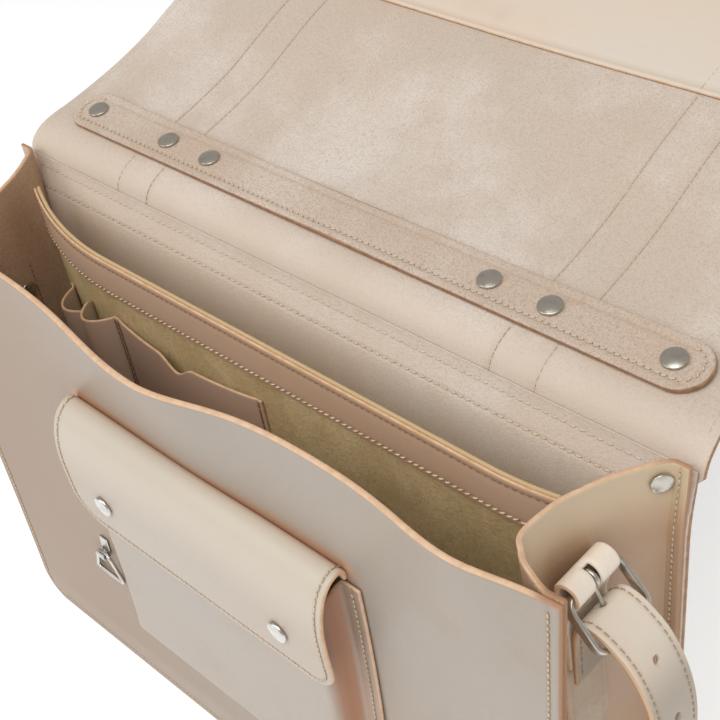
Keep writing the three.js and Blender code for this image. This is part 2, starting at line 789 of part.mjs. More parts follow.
// Shoulder strap, from its tucked end under the right buckle to the floor, round behind the body and
// up to the left buckle. The face columns give the way its smooth side points.
const strapFloor = strapLeather / 2 + 2 * clearance;
const strapHalfRoute = [
  { x: 191.2, y: strapLineY, z: 199, faceX: -1, faceY: 0, faceZ: 0 },
  { x: 191.2, y: strapLineY, z: 214, faceX: -1, faceY: 0, faceZ: 0 },
  { x: 191.4, y: strapLineY, z: 227, faceX: -1, faceY: 0, faceZ: 0.1 },
  { x: 193.4, y: strapLineY, z: 234, faceX: -1, faceY: 0, faceZ: 0.6 },
  { x: 197.6, y: strapLineY, z: 236.9, faceX: -0.2, faceY: 0, faceZ: 1 },
  { x: 203, y: strapLineY, z: 235.9, faceX: 0.3, faceY: 0, faceZ: 1 },
  { x: 209, y: strapLineY, z: 232.2, faceX: 0.6, faceY: 0, faceZ: 1 },
  { x: 215, y: strapLineY, z: 226.6, faceX: 0.8, faceY: 0, faceZ: 0.8 },
  { x: 222, y: strapLineY, z: 214, faceX: 1, faceY: 0, faceZ: 0.4 },
  { x: 226.4, y: strapLineY, z: 197, faceX: 1, faceY: 0, faceZ: 0.2 },
  { x: 228.6, y: strapLineY, z: 172, faceX: 1, faceY: 0.1, faceZ: 0 },
  { x: 230, y: 0, z: 140, faceX: 1, faceY: 0.35, faceZ: 0 },
  { x: 231.5, y: 4, z: 105, faceX: 0.8, faceY: 0.8, faceZ: 0.1 },
  { x: 233, y: 11, z: 70, faceX: 0.35, faceY: 1, faceZ: 0.2 },
  { x: 234.5, y: 21, z: 40, faceX: 0.1, faceY: 1, faceZ: 0.45 },
  { x: 236, y: 36, z: 16, faceX: 0, faceY: 0.7, faceZ: 1 },
  { x: 237, y: 54, z: 5.6, faceX: 0, faceY: 0.25, faceZ: 1 },
  { x: 236.8, y: 69, z: 2.6, faceX: 0, faceY: 0.1, faceZ: 1 },
  { x: 236.4, y: 86, z: strapFloor, faceX: 0, faceY: 0, faceZ: 1 },
];
const strapBend = { y: 96, radius: 236, squash: 1.055, steps: 10 };

function strapRoute() {
  const half = strapHalfRoute.map((row) => ({
    at: new THREE.Vector3(row.x, row.y, row.z),
    face: new THREE.Vector3(row.faceX, row.faceY, row.faceZ),
  }));
  for (let i = 1; i < strapBend.steps; i += 1) {
    const angle = (Math.PI / 2) * (i / strapBend.steps);
    half.push({
      at: new THREE.Vector3(
        strapBend.radius * Math.cos(angle),
        strapBend.y + strapBend.radius * strapBend.squash * Math.sin(angle),
        strapFloor,
      ),
      face: new THREE.Vector3(0, 0, 1),
    });
  }
  const back = {
    at: new THREE.Vector3(0, strapBend.y + strapBend.radius * strapBend.squash, strapFloor),
    face: new THREE.Vector3(0, 0, 1),
  };
  const flip = new THREE.Vector3(-1, 1, 1);
  const other = half.map((row) => ({
    at: row.at.clone().multiply(flip),
    face: row.face.clone().multiply(flip),
  }));
  return [...half, back, ...other.reverse()];
}

const strapRows = strapRoute();
const strapCurve = new THREE.CatmullRomCurve3(strapRows.map((row) => row.at), false, 'centripetal');
strapCurve.arcLengthDivisions = 2000;
const strapFaces = new THREE.CatmullRomCurve3(strapRows.map((row) => row.face), false, 'centripetal');
const strapLength = strapCurve.getLength();

// The strap's middle surface, run is the length from the right tucked end
function strapAt(run, across) {
  const t = strapCurve.getUtoTmapping(clamp01(run / strapLength));
  const way = strapCurve.getTangent(t);
  const sideways = strapFaces.getPoint(t).cross(way).normalize();
  return strapCurve.getPoint(t).addScaledVector(sideways, across);
}

const strapEndStops = [0, 14, 25, 30, 34, 38, 42, 46, 51, 57, 63, 70, 78, 88, 100, 115, 132, 150, 168,
  185, 202, 218, 233, 248, 264, 284, 310];
const firstHole = 9.6;
const strapHoleRuns = [0, 1, 2, 3, 4].map((step) => firstHole + step * strapHoleSpacing);

function makeShoulderStrap() {
  const stops = [
    ...strapEndStops,
    ...evenStops(strapEndStops.at(-1), strapLength - strapEndStops.at(-1), 22).slice(1, -1),
    ...strapEndStops.map((run) => strapLength - run).reverse(),
  ];
  let leather = toSolid(sheet(strapAt, stops, [-strapWidth / 2, strapWidth / 2], strapLeather));
  strapHoleRuns.flatMap((run) => [run, strapLength - run]).forEach((run) => {
    const punch = new THREE.CylinderGeometry(strapHole, strapHole, 3 * strapLeather, 8);
    const facing = normalAt(strapAt, run, 0);
    leather = leather.subtract(toSolid(standAt(punch, strapAt(run, 0), facing)));
  });
  return fromSolid(leather);
}

addPiece('shoulder_strap', makeShoulderStrap(), smoothLeather);

// Wire catches of the closing straps: a folded clip on the front panel and a triangular ring in its eye
const catchEye = catchWire + 0.5 + clipMetal / 2;
const ringTop = 6;
const ringBase = 12;
const ringHeight = 18;

function makeCatch(catchX) {
  const face = frontAt(catchX, catchZ).y - panelLeather / 2 - clearance;
  const eye = new THREE.Vector2(-face + clipMetal / 2 + catchEye, catchZ);
  const layer = (z, lift) => {
    const panel = frontAt(catchX, z).y - panelLeather / 2 - clearance;
    return new THREE.Vector2(-panel + clipMetal / 2 + lift, z);
  };
  const foot = layer(catchZ + clipHeight, 0);
  const path = hairpin([], new THREE.Vector2(0, 0), catchEye, []).map((spot) => {
    return new THREE.Vector2(eye.x + spot.x, eye.y - spot.y);
  });
  const placed = (out, z, x) => new THREE.Vector3(catchX + x, -out, z);
  const clip = band([foot, ...path], () => clipWidth, clipMetal, placed);
  const corners = [
    new THREE.Vector2(-ringTop, 0),
    new THREE.Vector2(-ringBase, -ringHeight),
    new THREE.Vector2(ringBase, -ringHeight),
    new THREE.Vector2(ringTop, 0),
  ];
  const flat = (a, b) => new THREE.Vector3(catchX + a, -eye.x, catchZ + b);
  const ring = wireLoop(corners, 2, catchWire, flat, new THREE.Vector3(0, -1, 0));
  return { clip, ring };
}

const rightCatch = makeCatch(pocketX + catchSpread);
const leftCatch = makeCatch(pocketX - catchSpread);
addPiece('catch_clip_right', rightCatch.clip, nickel);
addPiece('catch_clip_left', leftCatch.clip, nickel);
addPiece('catch_ring_right', rightCatch.ring, nickel);
addPiece('catch_ring_left', leftCatch.ring, nickel);

export default briefcase;
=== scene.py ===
import math

import bpy
import numpy as np
from mathutils import Matrix


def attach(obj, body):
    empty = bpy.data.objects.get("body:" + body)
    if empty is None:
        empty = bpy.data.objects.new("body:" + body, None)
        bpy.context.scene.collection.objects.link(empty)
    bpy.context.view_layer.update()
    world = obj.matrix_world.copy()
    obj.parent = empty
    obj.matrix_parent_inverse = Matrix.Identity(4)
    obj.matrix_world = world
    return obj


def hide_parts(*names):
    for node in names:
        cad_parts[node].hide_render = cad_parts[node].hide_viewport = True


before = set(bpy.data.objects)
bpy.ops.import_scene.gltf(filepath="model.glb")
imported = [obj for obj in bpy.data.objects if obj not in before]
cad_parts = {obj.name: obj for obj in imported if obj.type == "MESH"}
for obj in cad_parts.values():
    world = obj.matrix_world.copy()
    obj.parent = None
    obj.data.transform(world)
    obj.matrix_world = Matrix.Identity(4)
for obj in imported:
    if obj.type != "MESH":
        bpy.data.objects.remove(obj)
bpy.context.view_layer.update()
print("frame:", len(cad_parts), "solids")

# all sizes below are millimetres, as in the solids; meshes are scaled to metres when they are made
dice = np.random.default_rng(11)


def smooth(t):
    t = np.clip(t, 0, 1)
    return t * t * (3 - 2 * t)


def lerp(a, b, t):
    return a + (b - a) * t


def point(x, y, z):
    return np.stack(np.broadcast_arrays(x, y, z), -1).astype(float)


def unit(v):
    return v / np.maximum(np.linalg.norm(v, axis=-1, keepdims=True), 1e-12)


# a round curve through a table's rows, sampled closely enough to read lengths from
class RoundCurve:
    def __init__(self, rows, steps=80):
        rows = np.asarray(rows, float)
        reach = np.vstack([2 * rows[0] - rows[1], rows, 2 * rows[-1] - rows[-2]])
        t = np.linspace(0, 1, steps, endpoint=False)[:, None]
        parts = []
        for i in range(len(rows) - 1):
            a, b, c, d = reach[i:i + 4]
            ab, bc, cd = (max(np.linalg.norm(q - p), 1e-9) ** 0.5 for p, q in ((a, b), (b, c), (c, d)))
            leave = ((b - a) / ab - (c - a) / (ab + bc) + (c - b) / bc) * bc
            arrive = ((c - b) / bc - (d - b) / (bc + cd) + (d - c) / cd) * bc
            parts.append(b + leave * t + (3 * c - 3 * b - 2 * leave - arrive) * t ** 2
                         + (2 * b - 2 * c + leave + arrive) * t ** 3)
        self.points = np.vstack([*parts, rows[-1:]])
        self.share = np.linspace(0, 1, len(self.points))
        self.run = np.concatenate([[0], np.cumsum(np.linalg.norm(np.diff(self.points, axis=0), axis=1))])
        self.length = self.run[-1]

    def atShare(self, t):
        t = np.clip(t, 0, 1)
        return np.stack([np.interp(t, self.share, column) for column in self.points.T], -1)

    def atRun(self, run):
        return self.atShare(np.interp(run, self.run, self.share))


def normalOf(surface, u, v, stepU=0.5, stepV=0.5):
    alongU = surface(u + stepU, v) - surface(u - stepU, v)
    alongV = surface(u, v + stepV) - surface(u, v - stepV)
    return unit(np.cross(alongU, alongV))


def lifted(surface, distance, stepU=0.5, stepV=0.5):
    return lambda u, v: surface(u, v) + distance * normalOf(surface, u, v, stepU, stepV)


# grid lines that stand close together at both edges, where the leather is rounded
def gridLines(start, end, step, unitSize=1.0, marks=()):
    near = np.array([0, 0.25, 0.6, 1.1, 1.8, 2.8]) / unitSize
    count = max(2, int(round((end - start) * unitSize / step)))
    inner = np.linspace(start + near[-1], end - near[-1], count)
    lines = np.concatenate([start + near, inner, end - near, np.asarray(marks, float)])
    lines = np.unique(np.round(lines, 5))
    return lines[(lines >= start - 1e-6) & (lines <= end + 1e-6)]


# places set in from both edges of something that reaches from -half to half
def inFromEdges(half, *depths):
    return np.array([way * (half - depth) for way in (-1, 1) for depth in depths])


# places on and beside each line
def around(lines, *offsets):
    return [line + offset for line in lines for offset in offsets]


def nearest(value, lines):
    return np.min([np.abs(value - line) for line in lines], axis=0)


feather = 0.4  # thickness of an edge that is pared away
unsewn = 50  # added to the distance from a seam where it isn't sewn
rimKeeps = 0.3  # share of the thickness that is left at a rounded edge
seamReach = 0.9  # how far a pressed seam spreads to both sides
holeSharp = 2.5  # a hole's edge is this much sharper than the rim


# a closed sheet of leather over surface(u, v), with rounded edges, punched holes and pressed seams.
# flesh is "top" or "bottom" for the rough side, seam(u, v) gives the distance to a sewn line,
# skive(u, v) is 1 where the upper side is pared away to a feather edge, and the last argument gives
# where painted light and shade are mixed into the colour
def leather(surface, us, vs, thick, flesh="bottom", holes=(), slot=None, seam=None, rimWidth=1.3,
            pressed=0.3, stepU=None, stepV=None, both=False, skive=None, slotSize=1.0, drawn=None):
    uu, vv = np.meshgrid(us, vs, indexing="ij")
    keep = np.ones((len(us) - 1, len(vs) - 1), bool)
    midU, midV = (us[:-1] + us[1:]) / 2, (vs[:-1] + vs[1:]) / 2
    openGap = np.full(uu.shape, 1e3)
    for holeU, holeV, radius in holes:
        gone = np.hypot(midU[:, None] - holeU, midV[None, :] - holeV) < radius
        keep &= ~gone
        touched = np.zeros(uu.shape, bool)
        touched[:-1, :-1] |= gone
        touched[1:, :-1] |= gone
        touched[:-1, 1:] |= gone
        touched[1:, 1:] |= gone
        away = np.hypot(uu - holeU, vv - holeV)
        safe = np.maximum(away, 1e-6)
        uu = np.where(touched, holeU + (uu - holeU) / safe * radius, uu)
        vv = np.where(touched, holeV + (vv - holeV) / safe * radius, vv)
        openGap = np.minimum(openGap, holeSharp * np.abs(np.hypot(uu - holeU, vv - holeV) - radius))
    if slot:
        lowU, highU, lowV, highV = slot
        keep &= ~((midU > lowU) & (midU < highU))[:, None] | ~((midV > lowV) & (midV < highV))[None, :]
        outU = np.maximum(np.maximum(lowU - uu, uu - highU), 0)
        outV = np.maximum(np.maximum(lowV - vv, vv - highV), 0) * slotSize
        openGap = np.minimum(openGap, np.hypot(outU, outV))
    middle = surface(uu, vv)
    stepU = stepU or 0.002 * (us[-1] - us[0])
    stepV = stepV or 0.002 * (vs[-1] - vs[0])
    facing = normalOf(surface, uu, vv, stepU, stepV)
    lengthU = np.cumsum(np.linalg.norm(np.diff(middle, axis=0, prepend=middle[:1]), axis=-1), axis=0)
    lengthV = np.cumsum(np.linalg.norm(np.diff(middle, axis=1, prepend=middle[:, :1]), axis=-1), axis=1)
    sideEdge = np.minimum(lengthU, lengthU[-1:] - lengthU)
    endEdge = np.minimum(lengthV, lengthV[:, -1:] - lengthV)
    edge = np.minimum(np.minimum(sideEdge, endEdge), openGap)
    rounding = np.sqrt(1 - (1 - np.clip(edge / rimWidth, 0, 1)) ** 2)
    half = thick / 2 * lerp(rimKeeps, 1, rounding)
    sewn = np.zeros(uu.shape) if seam is None else np.exp(-(seam(uu, vv) / seamReach) ** 2)
    upper = half - pressed * sewn
    lower = half - pressed * sewn * (1 if both else 0)
    cut = np.zeros(uu.shape) if skive is None else skive(uu, vv)
    upper, lower = lerp(upper, feather - thick / 2, cut), lerp(lower, thick / 2, cut)
    top = middle + facing * upper[..., None]
    bottom = middle - facing * lower[..., None]
    rows, columns = uu.shape
    ids = np.arange(rows * columns).reshape(rows, columns)
    corners = [ids[:-1, :-1], ids[1:, :-1], ids[1:, 1:], ids[:-1, 1:]]
    faces = [np.stack([c[keep] for c in corners], -1)]
    faces.append(np.stack([c[keep] + rows * columns for c in reversed(corners)], -1))
    padded = np.pad(keep, 1)
    sides = [  # the two corners of a cell's side, as they go round the rim
        (padded[:-2, 1:-1], ids[:-1, :-1], ids[:-1, 1:]),
        (padded[2:, 1:-1], ids[1:, 1:], ids[1:, :-1]),
        (padded[1:-1, :-2], ids[1:, :-1], ids[:-1, :-1]),
        (padded[1:-1, 2:], ids[:-1, 1:], ids[1:, 1:]),
    ]
    for neighbour, first, second in sides:
        bare = keep & ~neighbour
        a, b = first[bare], second[bare]
        faces.append(np.stack([a, b, b + rows * columns, a + rows * columns], -1))
    rough = np.zeros((2, rows, columns))
    rough[{"top": 0, "bottom": 1, "both": slice(None)}[flesh]] = 1
    feathered = endEdge + 9 * cut  # a feather edge isn't burnished
    rim = np.clip(1 - np.minimum(sideEdge, feathered) / (1.2 * rimWidth), 0, 1)
    made = {
        "verts": np.concatenate([top.reshape(-1, 3), bottom.reshape(-1, 3)]),
        "faces": np.concatenate(faces),
        "flesh": rough.ravel(),
        "rim": np.tile(rim.ravel(), 2),
        "sewn": np.tile(sewn.ravel(), 2),
    }
    if drawn:
        made["drawn"] = np.tile(drawn(uu, vv).ravel(), 2)
    return trimmed(made)


def trimmed(made):
    used, faces = np.unique(made["faces"], return_inverse=True)
    out = {key: value[used] for key, value in made.items() if key != "faces"}
    out["faces"] = faces.reshape(made["faces"].shape)
    return out


def mirrored(made):
    return {**made, "verts": made["verts"] * (-1, 1, 1), "faces": made["faces"][:, ::-1]}


def joined(parts):
    starts = np.cumsum([0] + [len(part["verts"]) for part in parts])
    return {
        "verts": np.concatenate([part["verts"] for part in parts]),
        "faces": np.concatenate([part["faces"] + start for part, start in zip(parts, starts)]),
        "dip": np.concatenate([part.get("dip", np.zeros(len(part["verts"]))) for part in parts]),
    }


def makePiece(name, made, material, nodes=(), body="case"):
    mesh = bpy.data.meshes.new(name)
    faces = made["faces"]
    corners = np.ones(faces.shape, bool)
    corners[:, 3] = faces[:, 2] != faces[:, 3]  # a quad whose last corners meet is a triangle
    starts = np.concatenate([[0], np.cumsum(corners.sum(1))[:-1]])
    mesh.vertices.add(len(made["verts"]))
    mesh.vertices.foreach_set("co", (made["verts"] * 0.001).astype(np.float32).ravel())
    mesh.loops.add(int(corners.sum()))
    mesh.loops.foreach_set("vertex_index", faces[corners].astype(np.int32))
    mesh.polygons.add(len(faces))
    mesh.polygons.foreach_set("loop_start", starts.astype(np.int32))
    mesh.polygons.foreach_set("use_smooth", np.ones(len(faces), bool))
    mesh.update(calc_edges=True)
    for key in ("flesh", "rim", "sewn", "dip", "drawn"):
        if key in made:
            mesh.attributes.new(key, "FLOAT", "POINT").data.foreach_set("value", made[key].astype(np.float32))
    mesh.validate()
    mesh.materials.append(material)
    piece = bpy.data.objects.new(name, mesh)
    bpy.context.scene.collection.objects.link(piece)
    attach(piece, body)
    if nodes:
        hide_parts(*nodes)


# a piece that stands for one solid, named after it and after what it is made as
def makePart(node, made, material, kind="skin", body="case"):
    makePiece("%s_%s" % (node, kind), made, material, [node], body)


def makePair(node, made, material, kind="skin"):
    makePart(node + "_right", made, material, kind)
    makePart(node + "_left", mirrored(made), material, kind)


def roundAngles(sides):
    return np.linspace(0, 2 * math.pi, sides, endpoint=False)


def sideways(axis):
    return np.cross(axis, (0, 0, 1) if abs(axis[2]) < 0.9 else (1, 0, 0))


# triangles from a ring of corners to its hub
def fan(ring, nextRing, hub, flip):
    hubs = np.full(len(ring), hub)
    return np.stack([nextRing, ring, hubs, hubs] if flip else [ring, nextRing, hubs, hubs], -1)


# a solid turned about +Z from a profile of (radius, height) rows, stood at a place along a direction
def turned(profile, place, direction, sides=40):
    profile, place = np.asarray(profile, float), np.asarray(place, float)
    angle = roundAngles(sides)
    axis = unit(np.asarray(direction, float))
    across = unit(sideways(axis))
    other = np.cross(axis, across)
    ring = np.cos(angle)[:, None] * across + np.sin(angle)[:, None] * other
    verts = (place + profile[:, 0, None, None] * ring + profile[:, 1, None, None] * axis).reshape(-1, 3)
    ids = np.arange(len(verts)).reshape(len(profile), sides)
    nextIds = np.roll(ids, -1, axis=1)
    faces = [np.stack([ids[:-1], nextIds[:-1], nextIds[1:], ids[1:]], -1).reshape(-1, 4)]
    for row, flip in ((0, True), (-1, False)):
        faces.append(fan(ids[row], nextIds[row], len(verts), flip))
        verts = np.vstack([verts, place + profile[row, 1] * axis])
    return {"verts": verts, "faces": np.concatenate(faces)}


# a wire along a path, closed or with domed ends; radius may change along it, and a wire that is
# flattened to a band is wide along the direction given as broad
def wire(path, radius, sides=14, closed=False, broad=None, flat=1.0):
    path = np.asarray(path, float)
    radius = np.broadcast_to(np.asarray(radius, float), (len(path),)).copy()
    ahead = np.roll(path, -1, axis=0) - np.roll(path, 1, axis=0)
    if not closed:
        ahead[0], ahead[-1] = path[1] - path[0], path[-1] - path[-2]
    ahead = unit(ahead)
    out = np.zeros_like(path)
    start = sideways(ahead[0])
    for i, way in enumerate(ahead):
        start = unit(start - way * np.dot(start, way))
        out[i] = start
    if closed:  # share the leftover twist out along the loop
        last = unit(out[-1] - ahead[0] * np.dot(out[-1], ahead[0]))
        twist = math.atan2(np.dot(np.cross(last, out[0]), ahead[0]), np.dot(last, out[0]))
        turn = np.linspace(0, twist, len(path))[:, None]
        out = out * np.cos(turn) + np.cross(ahead, out) * np.sin(turn)
    if broad is not None:
        out = unit(broad - ahead * (ahead @ np.asarray(broad, float))[:, None])
    other = np.cross(ahead, out)
    angle = roundAngles(sides)
    square = 1.0 if broad is None else 0.62  # below 1 the section's corners stand out
    wide = flat * np.sign(np.cos(angle)) * np.abs(np.cos(angle)) ** square
    deep = np.sign(np.sin(angle)) * np.abs(np.sin(angle)) ** square
    rings = (path[:, None] + radius[:, None, None]
             * (wide[None, :, None] * out[:, None] + deep[None, :, None] * other[:, None]))
    ids = np.arange(len(path) * sides).reshape(len(path), sides)
    nextIds = np.roll(ids, -1, axis=1)
    if closed:
        a, b, c, d = ids, nextIds, np.roll(nextIds, -1, axis=0), np.roll(ids, -1, axis=0)
    else:
        a, b, c, d = ids[:-1], nextIds[:-1], nextIds[1:], ids[1:]
    faces = [np.stack([a, b, c, d], -1).reshape(-1, 4)]
    verts = rings.reshape(-1, 3)
    if not closed:
        for row, reach in ((0, -0.5), (-1, 0.5)):  # a low dome at each end
            faces.append(fan(ids[row], nextIds[row], len(verts), reach < 0))
            verts = np.vstack([verts, path[row] + ahead[row] * radius[row] * reach])
    return {"verts": verts, "faces": np.concatenate(faces)}


# sewing thread: short bowed stitches along a path, each dipping into the leather at its ends
thread = {
    # cover is a stitch's share of the pitch; along, girth and dip belong to the rings that it is made of
    "pitch": 3.3, "cover": 0.83, "radius": 0.38, "slant": 9,
    "strayPlace": 0.06, "strayLean": 3, "strayLength": 0.05,  # how uneven the stitches are
    "bow": (0.75, 6.2, 2.6),  # height over the leather, drop to the ends, how late it drops
    "along": np.array([-0.5, -0.44, -0.25, 0, 0.25, 0.44, 0.5]),
    "girth": np.array([0.4, 0.8, 0.96, 1, 0.96, 0.8, 0.4]),
    "dip": np.array([1, 0.8, 0.1, 0, 0.1, 0.8, 1]),
    "sides": 6, "feel": 0.6,  # feel: how far before and after a stitch its direction is read
}


def stitches(path, up, pitch=thread["pitch"], slant=thread["slant"], size=1.0, cover=thread["cover"]):
    path, up = np.asarray(path, float), np.asarray(up, float)
    run = np.concatenate([[0], np.cumsum(np.linalg.norm(np.diff(path, axis=0), axis=1))])
    count = max(2, int(run[-1] / pitch))
    at = (np.arange(count) + 0.5) * run[-1] / count + dice.normal(0, thread["strayPlace"], count) * pitch

    def read(table, places):
        return np.stack([np.interp(places, run, column) for column in table.T], -1)

    over = unit(read(up, at))
    way = unit(read(path, at + thread["feel"]) - read(path, at - thread["feel"]))
    side = unit(np.cross(over, way))
    lean = np.radians(slant + dice.normal(0, thread["strayLean"], count))[:, None]
    way, side = way * np.cos(lean) + side * np.sin(lean), side * np.cos(lean) - way * np.sin(lean)
    length = cover * pitch * (1 + dice.normal(0, thread["strayLength"], count))
    radius, angle = thread["radius"] * size, roundAngles(thread["sides"])
    high, drop, late = thread["bow"]
    bow = radius * (high - drop * np.abs(thread["along"]) ** late)
    centre = (read(path, at)[:, None] + way[:, None] * (thread["along"] * length[:, None])[..., None]
              + over[:, None] * bow[None, :, None])
    ring = np.cos(angle)[:, None] * side[:, None, None] + np.sin(angle)[:, None] * over[:, None, None]
    verts = centre[:, :, None] + (thread["girth"] * radius)[None, :, None, None] * ring
    ids = np.arange(verts[..., 0].size).reshape(verts.shape[:3])
    nextIds = np.roll(ids, -1, axis=2)
    tube = np.stack([ids[:, :-1], ids[:, 1:], nextIds[:, 1:], nextIds[:, :-1]], -1).reshape(-1, 4)
    ends = (ids[:, 0], ids[:, -1, ::-1])
    caps = [end[:, half] for half in ([0, 1, 2, 3], [0, 3, 4, 5]) for end in ends]
    return {"verts": verts.reshape(-1, 3), "faces": np.concatenate([tube, *caps]),
            "dip": np.tile(np.repeat(thread["dip"], thread["sides"]), count)}


# a sewn row on a sheet: us and vs are the line's places on it, out is the height over its middle surface
def sewnRow(surface, us, vs, out, stepU=0.5, stepV=0.5, **how):
    us, vs = np.broadcast_arrays(np.asarray(us, float), np.asarray(vs, float))
    up = normalOf(surface, us, vs, stepU, stepV) * np.sign(out)
    return stitches(surface(us, vs) + up * abs(out), up, **how)


# materials

def tone(red, green, blue):
    raw = np.array([red, green, blue]) / 255
    linear = np.where(raw <= 0.04045, raw / 12.92, ((raw + 0.055) / 1.055) ** 2.4)
    return (*(float(c) for c in linear), 1.0)


# the plain colours of a look, made ready for the shader
def tones(look):
    return {key: tone(*value) if isinstance(value, tuple) else value for key, value in look.items()}


class Value:
    def __init__(self, finish, socket):
        self.finish = finish
        self.socket = socket

    def sum(self, operation, first, second):
        return self.finish.node("ShaderNodeMath", {"operation": operation}, {0: first, 1: second})

    def __add__(self, other):
        return self.sum("ADD", self, other)

    def __radd__(self, other):
        return self.sum("ADD", other, self)

    def __sub__(self, other):
        return self.sum("SUBTRACT", self, other)

    def __rsub__(self, other):
        return self.sum("SUBTRACT", other, self)

    def __mul__(self, other):
        return self.sum("MULTIPLY", self, other)

    def __rmul__(self, other):
        return self.sum("MULTIPLY", other, self)


class Finish:
    def __init__(self, name):
        self.material = bpy.data.materials.new(name)
        self.material.use_nodes = True
        self.tree = self.material.node_tree
        self.shader = self.tree.nodes["Principled BSDF"]
        self.place = self.node("ShaderNodeTexCoord", {}, {}, "Object")

    def node(self, kind, settings, sockets, out=0):
        made = self.tree.nodes.new(kind)
        for key, value in settings.items():
            setattr(made, key, value)
        for key, value in sockets.items():
            self.feed(made.inputs[key], value)
        return Value(self, made.outputs[out])

    def feed(self, socket, value):
        if isinstance(value, Value):
            self.tree.links.new(value.socket, socket)
        else:
            socket.default_value = value

    def shade(self, **sockets):
        for key, value in sockets.items():
            self.feed(self.shader.inputs[key.replace("_", " ")], value)

    def noise(self, scale, detail=3.0, roughness=0.55, stretch=None):
        where = self.place
        if stretch:
            where = self.node("ShaderNodeVectorMath", {"operation": "MULTIPLY"}, {0: self.place, 1: stretch})
        return self.node("ShaderNodeTexNoise", {}, {
            "Vector": where, "Scale": scale, "Detail": detail, "Roughness": roughness})

    def placed(self, axis):
        return self.node("ShaderNodeSeparateXYZ", {}, {0: self.place}, axis)

    def attribute(self, name):
        return self.node("ShaderNodeAttribute", {"attribute_name": name}, {}, "Fac")

    def between(self, value, low, high):
        return self.node("ShaderNodeMapRange", {"interpolation_type": "SMOOTHSTEP"}, {
            "Value": value, "From Min": low, "From Max": high})

    def mix(self, factor, a, b):
        return self.node("ShaderNodeMix", {"data_type": "RGBA"}, {0: factor, 6: a, 7: b}, 2)

    def bump(self, height, distance, strength=1.0):
        return self.node("ShaderNodeBump", {}, {"Strength": strength, "Distance": distance, "Height": height})


leatherScales = {"speck": 520, "pores": 1500, "nap": 1100, "edge": 260}


# natural leather: pale satin grain on one side, rough flesh on the other, burnished edges, darker sewn lines
def leatherFinish(name, look, **own):
    look = tones({**look, **own})
    finish = Finish(name)
    rim, flesh, sewn = (finish.attribute(key) for key in ("rim", "flesh", "sewn"))
    cloud = finish.noise(look["cloudScale"], 3, 0.5)
    patch = finish.noise(look["patchScale"], 5, 0.62)
    speck = finish.noise(leatherScales["speck"], 3, 0.7)
    pores = finish.node("ShaderNodeTexVoronoi", {}, {"Vector": finish.place, "Scale": leatherScales["pores"]})
    nap = finish.noise(leatherScales["nap"], 4, 0.75)
    grain = finish.mix(finish.between(cloud, 0.35, 0.68), look["grain"], look["grainWarm"])
    grain = finish.mix(finish.between(patch, 0.5, 0.78) * look["stain"], grain, look["grainDeep"])
    grain = finish.mix(finish.between(speck, 0.45, 0.75) * 0.12, grain, look["grainDeep"])
    rough = finish.mix(finish.between(patch, 0.42, 0.66), look["flesh"], look["fleshPale"])
    rough = finish.mix(finish.between(cloud, 0.45, 0.75) * 0.6, rough, look["fleshWarm"])
    rough = finish.mix(finish.between(nap, 0.42, 0.72) * look["fleck"], rough, look["fleshDeep"])
    rough = finish.mix(finish.between(speck, 0.52, 0.78) * look["fleck"] * 0.6, rough, look["fleshDeep"])
    if "drift" in look:  # painted shade: the front is darker and warmer towards the left
        across = finish.placed("X") + (cloud - 0.5) * 0.2
        grain = finish.mix(finish.between(across, -0.17, 0.12), look["drift"], grain)
    if "crown" in look:  # painted highlight: paler towards the top, where the light falls
        height = finish.placed("Z") + (cloud - 0.5) * 0.02
        grain = finish.mix(finish.between(height, *look["crownRise"]), grain, look["crown"])
    colour = finish.mix(flesh, grain, rough)
    # painted light and shade, mixed into the colour where a piece marks it
    if "drawn" in look:
        colour = finish.mix(finish.attribute("drawn") * 0.9, colour, look["drawn"])
    colour = finish.mix(sewn * look["seamDark"], colour, look["seam"])
    edge = finish.between(rim + (speck - 0.5) * 0.1, 0.6, 0.88)
    edgeCloud = finish.between(finish.noise(leatherScales["edge"], 3), 0.3, 0.75)
    edgeTone = finish.mix(edgeCloud, look["edge"], look["edgeDeep"])
    if "sideEdge" in look:  # painted shade: the case's upright edges are browner
        outward = finish.node("ShaderNodeMath", {"operation": "ABSOLUTE"}, {0: finish.placed("X")})
        edgeTone = finish.mix(finish.between(outward, 0.19, 0.199), edgeTone, look["sideEdge"])
    colour = finish.mix(edge, colour, edgeTone)
    gloss = look["gloss"] + (speck - 0.5) * 0.14 + (cloud - 0.5) * 0.1
    smoothHeight, roughHeight = pores * -0.2 + speck * 0.24, nap * look["nap"] + speck * 0.8
    finish.shade(
        Base_Color=colour,
        Roughness=gloss + flesh * (0.93 - look["gloss"]),
        Specular_IOR_Level=0.35,
        Sheen_Weight=look["sheen"],
        Sheen_Roughness=0.5,
        Sheen_Tint=look["sheenTint"],
        Coat_Roughness=0.35,
        Coat_Weight=(1 - flesh) * (1 - edge) * look["coat"],
        Normal=finish.bump((1 - flesh) * smoothHeight + flesh * roughHeight, 0.0005, 0.5),
    )
    return finish.material


